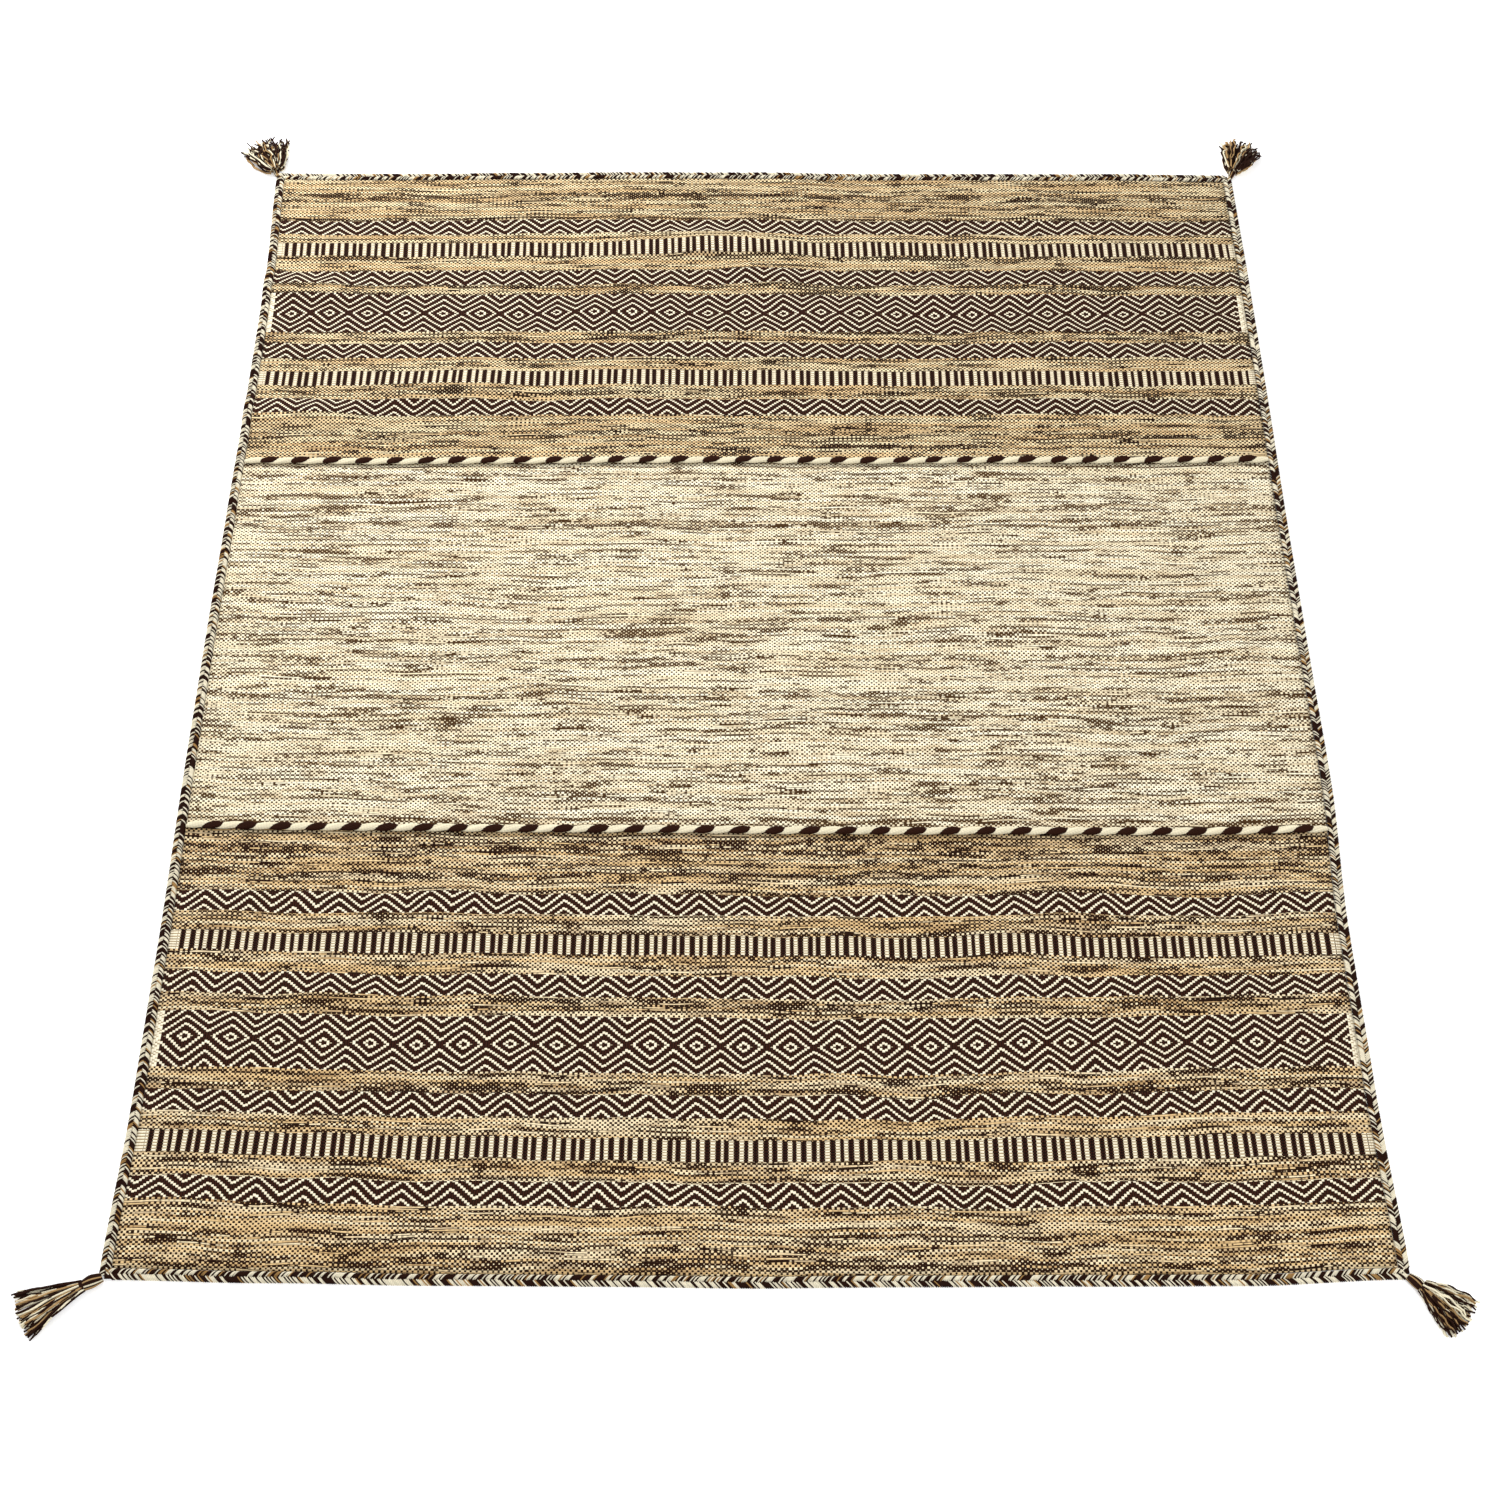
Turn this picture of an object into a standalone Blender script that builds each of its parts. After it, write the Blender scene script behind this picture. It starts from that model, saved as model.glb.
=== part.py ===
"""A flat-woven cotton kilim rug that lies on the floor.

Its pieces are the woven cloth with a few low ripples, a flat chevron plait sewn round the rim,
two twined cords that stand proud where the end panels meet the field, and a tassel at each corner.

Metres, +Z up. X runs across the rug, Y from its near end to its far end, and the origin is on
the underside, in the middle.
"""

import math
import random
from collections import namedtuple

import bmesh
import bpy
from mathutils import Vector

RUG_NAME = "kilim_rug"

# Driving sizes of the rug, measured over the plaited edge at its corners
RUG_WIDTH = 1.70
RUG_LENGTH = 2.00
CLOTH_THICKNESS = 0.004
BRAID_WIDTH = 0.016
BRAID_HEIGHT = 0.007
SEAM_GAP = 0.0003

# The cloth's mesh: cells across and along, halved where it ripples
CELLS_ACROSS = 24
CELLS_ALONG = 28

# How far each side stands outside a straight line between its corners. The share runs from -1 to
# 1: left to right on the near and far sides, near to far on the left and right sides.
EdgeBow = namedtuple("EdgeBow", "share near far left right")
EDGE_BOWS = (
    EdgeBow(share=-1.00, near=0.002, far=0.008, left=0.008, right=0.005),
    EdgeBow(share=-0.75, near=0.006, far=0.008, left=0.001, right=-0.002),
    EdgeBow(share=-0.50, near=0.009, far=0.011, left=0.000, right=-0.003),
    EdgeBow(share=-0.25, near=0.010, far=0.014, left=0.002, right=0.006),
    EdgeBow(share=0.00, near=0.012, far=0.014, left=0.002, right=0.004),
    EdgeBow(share=0.25, near=0.010, far=0.011, left=0.000, right=0.003),
    EdgeBow(share=0.50, near=0.009, far=0.012, left=-0.002, right=0.004),
    EdgeBow(share=0.75, near=0.008, far=0.012, left=-0.002, right=0.004),
    EdgeBow(share=1.00, near=-0.001, far=0.010, left=0.006, right=0.002),
)

# Places where the cloth stands off the floor: the middle, the heading of the crest in degrees,
# half the length along the crest, half the width across it, and the height of the crest
Ripple = namedtuple("Ripple", "x y heading half_length half_width height")
RIPPLES = (
    Ripple(x=-0.043, y=0.832, heading=-3, half_length=0.21, half_width=0.048, height=0.014),
    Ripple(x=0.015, y=0.770, heading=-10, half_length=0.13, half_width=0.036, height=0.008),
    Ripple(x=-0.765, y=0.730, heading=-6, half_length=0.14, half_width=0.042, height=0.009),
    Ripple(x=-0.755, y=0.452, heading=-4, half_length=0.15, half_width=0.045, height=0.010),
    Ripple(x=-0.530, y=0.505, heading=6, half_length=0.19, half_width=0.050, height=0.008),
    Ripple(x=0.610, y=0.160, heading=5, half_length=0.17, half_width=0.055, height=0.007),
    Ripple(x=0.550, y=-0.105, heading=14, half_length=0.16, half_width=0.060, height=0.009),
    Ripple(x=0.745, y=-0.020, heading=-10, half_length=0.11, half_width=0.055, height=0.006),
    Ripple(x=0.370, y=-0.215, heading=-4, half_length=0.15, half_width=0.045, height=0.006),
    Ripple(x=0.600, y=-0.575, heading=8, half_length=0.18, half_width=0.045, height=0.006),
)

# The plait's section: the share of its width in from the rug's outline, and of its height. Its
# two lobes meet in a groove down the middle.
BraidPoint = namedtuple("BraidPoint", "inset height")
BRAID_SECTION = (
    BraidPoint(inset=0.00, height=0.00),
    BraidPoint(inset=0.00, height=0.40),
    BraidPoint(inset=0.14, height=0.84),
    BraidPoint(inset=0.34, height=1.00),
    BraidPoint(inset=0.50, height=0.86),
    BraidPoint(inset=0.66, height=1.00),
    BraidPoint(inset=0.88, height=0.86),
    BraidPoint(inset=1.00, height=0.62),
    BraidPoint(inset=1.00, height=0.00),
)

# The twined cords: grains of two colours take turns, each slanted across the cord
GRAIN_PAIR_PITCH = 0.0515
GRAIN_SLANT = 0.9
TWINE_END_MARGIN = 0.007
TwinePlace = namedtuple("TwinePlace", "name share tilt")
TWINE_PLACES = (
    TwinePlace(name="twine_near", share=-0.3311, tilt=-0.003),
    TwinePlace(name="twine_far", share=0.3495, tilt=0.003),
)
TwineStation = namedtuple("TwineStation", "half_width height")
GRAIN_VALLEY = TwineStation(half_width=0.0044, height=0.0042)
GRAIN_CREST = TwineStation(half_width=0.0061, height=0.0080)
TwinePoint = namedtuple("TwinePoint", "across height")
TWINE_SECTION = (
    TwinePoint(across=-1.0, height=0.0),
    TwinePoint(across=-0.8, height=0.7),
    TwinePoint(across=0.0, height=1.0),
    TwinePoint(across=0.8, height=0.7),
    TwinePoint(across=1.0, height=0.0),
)

# The tassels: which corner, the heading of the tassel in degrees, its length from the corner, and
# half the angle that its skirt fans out
Tassel = namedtuple("Tassel", "name side end heading length fan")
TASSELS = (
    Tassel(name="tassel_near_left", side=-1, end=-1, heading=207, length=0.115, fan=18),
    Tassel(name="tassel_near_right", side=1, end=-1, heading=-43, length=0.094, fan=24),
    Tassel(name="tassel_far_left", side=-1, end=1, heading=117, length=0.108, fan=31),
    Tassel(name="tassel_far_right", side=1, end=1, heading=70, length=0.100, fan=27),
)
# Rings of the tassel's head, from the corner to where the strands part
HeadRing = namedtuple("HeadRing", "along half_width half_height")
HEAD_RINGS = (
    HeadRing(along=0.000, half_width=0.0044, half_height=0.0034),
    HeadRing(along=0.007, half_width=0.0078, half_height=0.0060),
    HeadRing(along=0.014, half_width=0.0094, half_height=0.0070),
    HeadRing(along=0.021, half_width=0.0086, half_height=0.0064),
    HeadRing(along=0.027, half_width=0.0068, half_height=0.0054),
    HeadRing(along=0.033, half_width=0.0090, half_height=0.0060),
)
STRAND_COLUMNS = 9
STRAND_LAYERS = 3
STRAND_STEPS = 3
STRAND_HALF_WIDTH = 0.0013
STRAND_HALF_HEIGHT = 0.0012
STRAND_TIP_SHARE = 0.75
STRAND_ROOT_INSET = 0.00025
LAYER_SPACING = 0.0032
LAYER_SHORTENING = 0.07
SHORTEST_STRAND = 0.84
STRAND_WANDER = 0.0004
STRAND_SEED = 11

# Colours and finish: cotton, in linear RGB
Finish = namedtuple("Finish", "name colour roughness")
CLOTH_FINISH = Finish(name="woven_cotton", colour=(0.60, 0.49, 0.30, 1), roughness=0.92)
BRAID_FINISH = Finish(name="plaited_cotton", colour=(0.36, 0.27, 0.17, 1), roughness=0.88)
TWINE_FINISH = Finish(name="twined_cotton", colour=(0.70, 0.64, 0.48, 1), roughness=0.85)
TASSEL_FINISH = Finish(name="tassel_cotton", colour=(0.30, 0.20, 0.11, 1), roughness=0.88)


def clear_scene():
    for obj in list(bpy.data.objects):
        bpy.data.objects.remove(obj, do_unlink=True)


def make_material(finish):
    """A rough cotton with the finish's colour."""
    material = bpy.data.materials.new(finish.name)
    material.use_nodes = True
    shader = material.node_tree.nodes["Principled BSDF"]
    shader.inputs["Base Color"].default_value = finish.colour
    shader.inputs["Roughness"].default_value = finish.roughness
    shader.inputs["Metallic"].default_value = 0.0
    return material


def add_object(bm, name, material, collection):
    """Turns a finished bmesh into a named object of the collection."""
    bmesh.ops.recalc_face_normals(bm, faces=bm.faces)
    mesh = bpy.data.meshes.new(name)
    bm.to_mesh(mesh)
    bm.free()
    mesh.materials.append(material)
    collection.objects.link(bpy.data.objects.new(name, mesh))


def mix(low, high, share):
    return low + (high - low) * share


def edge_bow(side, share):
    """How far this side stands out at this share of its length, on a smooth curve."""
    step = EDGE_BOWS[1].share - EDGE_BOWS[0].share
    place = (share - EDGE_BOWS[0].share) / step
    row = min(max(int(place), 0), len(EDGE_BOWS) - 2)
    ease = place - row
    ease = ease * ease * (3 - 2 * ease)
    return mix(getattr(EDGE_BOWS[row], side), getattr(EDGE_BOWS[row + 1], side), ease)


def rug_point(across, along, inset):
    """The floor plan at shares -1 to 1 across and along the rug, inside its outline by inset."""
    half_width = RUG_WIDTH / 2 - inset
    half_length = RUG_LENGTH / 2 - inset
    left = -half_width - edge_bow("left", along)
    right = half_width + edge_bow("right", along)
    near = -half_length - edge_bow("near", across)
    far = half_length + edge_bow("far", across)
    return Vector((mix(left, right, (across + 1) / 2), mix(near, far, (along + 1) / 2), 0))


def swell(share):
    """A smooth bump that is 1 at 0 and flat at 0 from 1 on."""
    return (1 - share * share) ** 2 if abs(share) < 1 else 0.0


def lift(x, y):
    """How high the underside stands off the floor here."""
    height = 0.0
    for ripple in RIPPLES:
        turn = math.radians(ripple.heading)
        along = (x - ripple.x) * math.cos(turn) + (y - ripple.y) * math.sin(turn)
        across = (y - ripple.y) * math.cos(turn) - (x - ripple.x) * math.sin(turn)
        rise = swell(along / ripple.half_length) * swell(across / ripple.half_width)
        height = max(height, ripple.height * rise)
    return height


def extrude_front(bm, front, place):
    """Extrudes the front faces one step, and puts each new point where place(its unit) says."""
    edges = {edge for face in front for edge in face.edges}
    verts = {vert for face in front for vert in face.verts}
    region = [*front, *edges, *verts]
    grown = bmesh.ops.extrude_face_region(bm, geom=region)["geom"]
    unit = bm.verts.layers.float_vector["unit"]
    for item in grown:
        if isinstance(item, bmesh.types.BMVert):
            item.co = place(item[unit])
    return [item for item in grown if isinstance(item, bmesh.types.BMFace)]


def sweep_section(points, places):
    """A closed bar: one flat section, extruded through each place in turn."""
    bm = bmesh.new()
    unit = bm.verts.layers.float_vector.new("unit")
    ring = []
    for across, height in points:
        vert = bm.verts.new(places[0](Vector((across, height, 0))))
        vert[unit] = (across, height, 0)
        ring.append(vert)
    front = [bm.faces.new(ring)]
    for place in places[1:]:
        front = extrude_front(bm, front, place)
    return bm


def build_cloth(collection):
    """The woven web, one sheet of even thickness, lifted along its ripples."""
    bm = bmesh.new()
    bmesh.ops.create_grid(bm, x_segments=CELLS_ACROSS, y_segments=CELLS_ALONG, size=1)
    for vert in bm.verts:
        vert.co = rug_point(vert.co.x, vert.co.y, BRAID_WIDTH + SEAM_GAP)
    rippled = set()
    for face in bm.faces:
        middle = face.calc_center_median()
        if lift(middle.x, middle.y) > 0 or any(lift(v.co.x, v.co.y) > 0 for v in face.verts):
            rippled.update(face.edges)
    bmesh.ops.subdivide_edges(bm, edges=list(rippled), cuts=1, use_grid_fill=True)
    bmesh.ops.triangulate(bm, faces=bm.faces)
    for vert in bm.verts:
        vert.co.z = lift(vert.co.x, vert.co.y)
    grown = bmesh.ops.extrude_face_region(bm, geom=bm.faces[:])["geom"]
    top = [item for item in grown if isinstance(item, bmesh.types.BMVert)]
    bmesh.ops.translate(bm, verts=top, vec=(0, 0, CLOTH_THICKNESS))
    add_object(bm, "rug_cloth", make_material(CLOTH_FINISH), collection)


def braid_place(side, share):
    """Places the plait's section at a share of one side's length, its ends just off the mitre."""
    share = share * (1 - SEAM_GAP * math.sqrt(0.5) / (RUG_WIDTH / 2))
    across = {"left": -1, "right": 1}.get(side, share)
    along = {"near": -1, "far": 1}.get(side, share)

    def place(unit):
        point = rug_point(across, along, unit.x * BRAID_WIDTH)
        return point + Vector((0, 0, lift(point.x, point.y) + unit.y * BRAID_HEIGHT))

    return place


def build_braids(collection):
    """The plaited edge: one length for each side, mitred at the corners."""
    material = make_material(BRAID_FINISH)
    for side in ("near", "far", "left", "right"):
        steps = CELLS_ACROSS if side in ("near", "far") else CELLS_ALONG
        places = [braid_place(side, 2 * step / steps - 1) for step in range(steps + 1)]
        add_object(sweep_section(BRAID_SECTION, places), f"braid_{side}", material, collection)


def twine_place(twine, x, station):
    """Places the twine's section at x, at a grain's valley or crest."""

    def place(unit):
        across = unit.x * station.half_width
        half_width = RUG_WIDTH / 2 - BRAID_WIDTH
        line = rug_point(x / half_width, twine.share, 0)
        y = line.y + twine.tilt * x / half_width
        z = CLOTH_THICKNESS + SEAM_GAP + unit.y * station.height
        return Vector((x + GRAIN_SLANT * across, y + across, z))

    return place


def build_twines(collection):
    """The two twined cords, each a row of slanted grains on the cloth."""
    material = make_material(TWINE_FINISH)
    for twine in TWINE_PLACES:
        start = rug_point(-1, twine.share, BRAID_WIDTH).x + TWINE_END_MARGIN
        end = rug_point(1, twine.share, BRAID_WIDTH).x - TWINE_END_MARGIN
        grains = round((end - start) / (GRAIN_PAIR_PITCH / 2))
        places = []
        for step in range(2 * grains + 1):
            station = GRAIN_CREST if step % 2 else GRAIN_VALLEY
            places.append(twine_place(twine, mix(start, end, step / (2 * grains)), station))
        add_object(sweep_section(TWINE_SECTION, places), twine.name, material, collection)


def rounded(point):
    """Maps a point of the unit square into the unit disc."""
    x = point.x * math.sqrt(1 - point.y * point.y / 2)
    y = point.y * math.sqrt(1 - point.x * point.x / 2)
    return Vector((x, y, 0))


def tassel_axes(tassel):
    """The corner that the tassel hangs on, and its directions along and to the side."""
    corner = rug_point(tassel.side, tassel.end, 0)
    turn = math.radians(tassel.heading)
    along = Vector((math.cos(turn), math.sin(turn), 0))
    aside = Vector((-math.sin(turn), math.cos(turn), 0))
    return corner + along * SEAM_GAP, along, aside


def build_tassel_head(tassel):
    """The wrapped head, lying on the floor: returns its bmesh and the faces where strands start."""
    corner, along, aside = tassel_axes(tassel)

    def ring_place(ring):
        def place(unit):
            disc = rounded(unit)
            flat = corner + along * ring.along + aside * disc.x * ring.half_width
            return flat + Vector((0, 0, ring.half_height * (1 + disc.y)))

        return place

    bm = bmesh.new()
    unit = bm.verts.layers.float_vector.new("unit")
    bmesh.ops.create_grid(bm, x_segments=STRAND_COLUMNS, y_segments=STRAND_LAYERS, size=1)
    for vert in bm.verts:
        vert[unit] = vert.co
        vert.co = ring_place(HEAD_RINGS[0])(vert[unit])
    front = bm.faces[:]
    for ring in HEAD_RINGS[1:]:
        front = extrude_front(bm, front, ring_place(ring))
    return bm, front


def strand_places(tassel, column, layer, dice):
    """Centre, direction and size share of one strand at each step out from the head."""
    corner, along, aside = tassel_axes(tassel)
    last = HEAD_RINGS[-1]
    share = (2 * column + 1) / STRAND_COLUMNS - 1
    spread = math.radians(tassel.fan) * share
    heading = along * math.cos(spread) + aside * math.sin(spread)
    reach = (tassel.length - last.along) * (1 - LAYER_SHORTENING * layer)
    reach = reach * dice.uniform(SHORTEST_STRAND, 1)
    root = corner + along * last.along + aside * share * last.half_width
    height = Vector((0, 0, STRAND_HALF_HEIGHT + layer * LAYER_SPACING))
    places = []
    for step in range(1, STRAND_STEPS + 1):
        out = step / STRAND_STEPS
        wander = aside * dice.uniform(-STRAND_WANDER, STRAND_WANDER)
        size = mix(1, STRAND_TIP_SHARE, (out - 1 / STRAND_STEPS) / (1 - 1 / STRAND_STEPS))
        places.append((root + heading * reach * out + wander + height, heading, size))
    return places


def unit_middle(bm, face):
    """The middle of a face in its corners' units."""
    unit = bm.verts.layers.float_vector["unit"]
    return sum((vert[unit] for vert in face.verts), Vector()) / len(face.verts)


def grow_strand(bm, face, places):
    """Extrudes one small face into a strand of four sides."""
    unit = bm.verts.layers.float_vector["unit"]
    middle = unit_middle(bm, face)
    for centre, heading, size in places:
        face = bmesh.ops.extrude_discrete_faces(bm, faces=[face])["faces"][0]
        aside = Vector((-heading.y, heading.x, 0))
        for vert in face.verts:
            sideways = math.copysign(STRAND_HALF_WIDTH * size, vert[unit].x - middle.x)
            upwards = math.copysign(STRAND_HALF_HEIGHT, vert[unit].y - middle.y)
            vert.co = centre + aside * sideways + Vector((0, 0, upwards))


def build_tassels(collection):
    """Four tassels that lie on the floor, each a head with its strands fanned out in layers."""
    material = make_material(TASSEL_FINISH)
    for number, tassel in enumerate(TASSELS):
        dice = random.Random(STRAND_SEED + number)
        bm, front = build_tassel_head(tassel)
        front.sort(key=lambda face: tuple(round(c, 3) for c in unit_middle(bm, face).yx))
        bmesh.ops.inset_individual(bm, faces=front, thickness=STRAND_ROOT_INSET)
        for place, face in enumerate(front):
            layer, column = divmod(place, STRAND_COLUMNS)
            grow_strand(bm, face, strand_places(tassel, column, layer, dice))
        add_object(bm, tassel.name, material, collection)


def main():
    clear_scene()
    collection = bpy.data.collections.new(RUG_NAME)
    bpy.context.scene.collection.children.link(collection)
    build_cloth(collection)
    build_braids(collection)
    build_twines(collection)
    build_tassels(collection)


main()
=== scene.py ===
"""The looks of a flat-woven cotton kilim rug that lies on a pale studio floor.

The woven cloth is made in three lengths that meet under the twined cords: the near end panel, the
field and the far end panel. Round them run the four lengths of the plaited edge, and a tassel lies
at each corner. Metres, +Z up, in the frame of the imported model.
"""

from __future__ import annotations

import logging
import math
from dataclasses import dataclass
from enum import Enum
from typing import Iterable, Mapping, Optional, Sequence, Union

import bpy
import numpy as np
from mathutils import Euler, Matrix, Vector, noise

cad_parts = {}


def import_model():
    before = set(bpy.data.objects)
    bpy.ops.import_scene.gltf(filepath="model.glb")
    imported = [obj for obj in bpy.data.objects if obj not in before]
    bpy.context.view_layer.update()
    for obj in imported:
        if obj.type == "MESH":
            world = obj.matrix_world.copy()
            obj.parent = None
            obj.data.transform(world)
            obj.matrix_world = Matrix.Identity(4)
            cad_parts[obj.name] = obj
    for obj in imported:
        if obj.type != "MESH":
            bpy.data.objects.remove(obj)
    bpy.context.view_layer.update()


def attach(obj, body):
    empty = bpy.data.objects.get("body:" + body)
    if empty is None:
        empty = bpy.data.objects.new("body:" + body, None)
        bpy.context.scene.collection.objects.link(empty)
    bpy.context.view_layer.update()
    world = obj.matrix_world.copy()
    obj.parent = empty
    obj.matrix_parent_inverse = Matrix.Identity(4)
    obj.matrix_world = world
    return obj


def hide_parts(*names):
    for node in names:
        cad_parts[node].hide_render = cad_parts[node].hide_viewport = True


LOG = logging.getLogger("kilim_rug")
BODY = "root"
BAKE_MAP = "OFBake"
COTTON_SPECULAR = 0.08
FULL_TURN = 2 * math.pi


def cotton(shade: str) -> tuple[float, float, float, float]:
    """Turns a dyer's shade, written as six hex digits, into linear RGB.

    Args:
        shade: red, green and blue as in "EFE6C8".

    Returns:
        The linear colour with an alpha of 1.
    """
    parts = [int(shade[start : start + 2], 16) / 255 for start in (0, 2, 4)]
    linear = [p / 12.92 if p <= 0.04045 else ((p + 0.055) / 1.055) ** 2.4 for p in parts]
    return (linear[0], linear[1], linear[2], 1.0)


def mix(low: float, high: float, share: float) -> float:
    """Returns the value at a share of the way from low to high."""
    return low + (high - low) * share


class Sketch:
    """Draws the nodes of one tree, and wires them as they are placed."""

    def __init__(self, tree: bpy.types.NodeTree) -> None:
        """Starts on an empty tree."""
        self.tree = tree
        self.count = 0

    def add(self, kind: str, **settings: object) -> bpy.types.Node:
        """Adds one node.

        Args:
            kind: the node's type.
            settings: its properties.

        Returns:
            The new node.
        """
        node = self.tree.nodes.new(kind)
        for name, value in settings.items():
            setattr(node, name, value)
        node.location = (180 * (self.count // 8), -170 * (self.count % 8))
        self.count += 1
        return node

    def feed(self, socket: bpy.types.NodeSocket, value: object) -> None:
        """Wires a signal into a socket, or sets the socket to a plain value."""
        if isinstance(value, Signal):
            self.tree.links.new(value.socket, socket)
        else:
            socket.default_value = value

    def place(
        self,
        kind: str,
        values: Mapping[Union[str, int], object],
        output: Union[str, int] = 0,
        **settings: object,
    ) -> "Signal":
        """Adds a node with its inputs.

        Args:
            kind: the node's type.
            values: what goes into each socket, by the socket's name or number.
            output: the socket that is read.
            settings: the node's properties.

        Returns:
            The signal of that output.
        """
        node = self.add(kind, **settings)
        for key, value in values.items():
            self.feed(node.inputs[key], value)
        return Signal(self, node.outputs[output])

    def vector(self, x: object = 0.0, y: object = 0.0, z: object = 0.0) -> "Signal":
        """Joins three numbers into a vector."""
        return self.place("ShaderNodeCombineXYZ", {0: x, 1: y, 2: z})

    def blend(self, share: object, low: object, high: object) -> "Signal":
        """Mixes two colours by a share."""
        node = self.add("ShaderNodeMix", data_type="RGBA")
        self.feed(node.inputs["Factor"], share)
        self.feed(node.inputs[6], low)
        self.feed(node.inputs[7], high)
        return Signal(self, node.outputs[2])

    def cloud(self, at: "Signal", detail: float = 1.0) -> "Signal":
        """Smooth noise from 0 to 1 in a plane, at a place in units of its grain."""
        values = {"Vector": at, "Scale": 1.0, "Detail": detail, "Roughness": 0.5}
        return self.place("ShaderNodeTexNoise", values, noise_dimensions="2D")

    def dice(self, number: "Signal") -> "Signal":
        """A throw from 0 to 1 for each whole number."""
        return self.place("ShaderNodeTexWhiteNoise", {"W": number}, noise_dimensions="1D")


class Signal:
    """A value inside a node tree. Plain arithmetic on it places the nodes that work it out."""

    def __init__(self, sketch: Sketch, socket: bpy.types.NodeSocket) -> None:
        """Wraps an output socket."""
        self.sketch = sketch
        self.socket = socket

    def work(self, operation: str, *others: object) -> "Signal":
        """Places one Math node on this signal.

        Args:
            operation: the name of the sum.
            others: the further values that it takes.

        Returns:
            The result.
        """
        values = dict(enumerate((self, *others)))
        return self.sketch.place("ShaderNodeMath", values, operation=operation)

    def __add__(self, other: object) -> "Signal":
        """Adds."""
        return self.work("ADD", other)

    def __radd__(self, other: float) -> "Signal":
        """Adds this signal to a number."""
        return self.work("ADD", other)

    def __sub__(self, other: object) -> "Signal":
        """Subtracts."""
        return self.work("SUBTRACT", other)

    def __rsub__(self, other: float) -> "Signal":
        """Takes this signal from a number."""
        return self.work("MULTIPLY_ADD", -1.0, other)

    def __mul__(self, other: object) -> "Signal":
        """Multiplies."""
        return self.work("MULTIPLY", other)

    def __truediv__(self, other: object) -> "Signal":
        """Divides."""
        return self.work("DIVIDE", other)

    def __mod__(self, other: object) -> "Signal":
        """The remainder, never below 0."""
        return self.work("FLOORED_MODULO", other)

    def above(self, other: object) -> "Signal":
        """1 where this is above the other, and 0 elsewhere."""
        return self.work("GREATER_THAN", other)

    def below(self, other: object) -> "Signal":
        """1 where this is below the other, and 0 elsewhere."""
        return self.work("LESS_THAN", other)

    def ramp(self, start: float, end: float) -> "Signal":
        """Rises smoothly from 0 at start to 1 at end."""
        values = {0: self, 1: start, 2: end}
        return self.sketch.place("ShaderNodeMapRange", values, interpolation_type="SMOOTHSTEP")


@dataclass(frozen=True)
class Socket:
    """One named input or output of a node group."""

    name: str
    kind: str = "NodeSocketFloat"
    value: object = None


def start_group(
    name: str, tree_type: str, inputs: Iterable[Socket], outputs: Iterable[Socket]
) -> tuple[Sketch, dict[str, Signal], bpy.types.Node]:
    """Begins a node group.

    Args:
        name: the group's name.
        tree_type: ShaderNodeTree or GeometryNodeTree.
        inputs: its inputs, with their usual values.
        outputs: its outputs.

    Returns:
        The sketch to draw it with, its inputs by name, and the node that takes its outputs.
    """
    tree = bpy.data.node_groups.new(name, tree_type)
    for socket in inputs:
        made = tree.interface.new_socket(socket.name, in_out="INPUT", socket_type=socket.kind)
        if socket.value is not None:
            made.default_value = socket.value
    for socket in outputs:
        tree.interface.new_socket(socket.name, in_out="OUTPUT", socket_type=socket.kind)
    sketch = Sketch(tree)
    source = sketch.add("NodeGroupInput")
    given = {s.name: Signal(sketch, s) for s in source.outputs if s.name}
    return sketch, given, sketch.add("NodeGroupOutput")


def use_group(
    sketch: Sketch, group: bpy.types.NodeTree, values: Mapping[str, object]
) -> dict[str, Signal]:
    """Places a shader node group in a material.

    Args:
        sketch: the material's sketch.
        group: the group.
        values: what goes into its inputs, by name.

    Returns:
        Its outputs by name.
    """
    node = sketch.add("ShaderNodeGroup", node_tree=group)
    for name, value in values.items():
        sketch.feed(node.inputs[name], value)
    return {socket.name: Signal(sketch, socket) for socket in node.outputs}


def start_material(name: str) -> tuple[bpy.types.Material, Sketch]:
    """Makes an empty material.

    Args:
        name: its name.

    Returns:
        The material, and the sketch to draw it with.
    """
    material = bpy.data.materials.new(name)
    material.use_nodes = True
    material.node_tree.nodes.clear()
    return material, Sketch(material.node_tree)


def finish_cotton(
    sketch: Sketch, colour: Signal, height: Signal, relief: float, rough: float, polish: float
) -> None:
    """Wires a colour and a relief into a dull cotton shader.

    Args:
        sketch: the material's sketch.
        colour: the colour.
        height: the relief, from 0 to 1.
        relief: how high a relief of 1 stands, in metres.
        rough: the roughness of the hollows.
        polish: how much smoother the crowns are.
    """
    bump = sketch.add("ShaderNodeBump")
    bump.inputs["Distance"].default_value = relief
    sketch.feed(bump.inputs["Height"], height)
    shader = sketch.add("ShaderNodeBsdfPrincipled")
    sketch.feed(shader.inputs["Base Color"], colour)
    sketch.feed(shader.inputs["Roughness"], rough - height * polish)
    shader.inputs["Specular IOR Level"].default_value = COTTON_SPECULAR
    sketch.tree.links.new(bump.outputs["Normal"], shader.inputs["Normal"])
    out = sketch.add("ShaderNodeOutputMaterial")
    sketch.tree.links.new(shader.outputs[0], out.inputs["Surface"])


def measures(piece: object, names: Iterable[str]) -> dict[str, object]:
    """Reads a piece's fields under the names of the inputs that take them.

    Args:
        piece: the piece.
        names: the inputs, each named as its field in title case.

    Returns:
        The values by the inputs' names.
    """
    return {name: getattr(piece, name.lower().replace(" ", "_")) for name in names}


# The rug's plan and the places where it stands off the floor


@dataclass(frozen=True)
class EdgeBow:
    """How far each side stands outside a straight line, at a share of its length."""

    share: float
    near: float
    far: float
    left: float
    right: float


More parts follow.
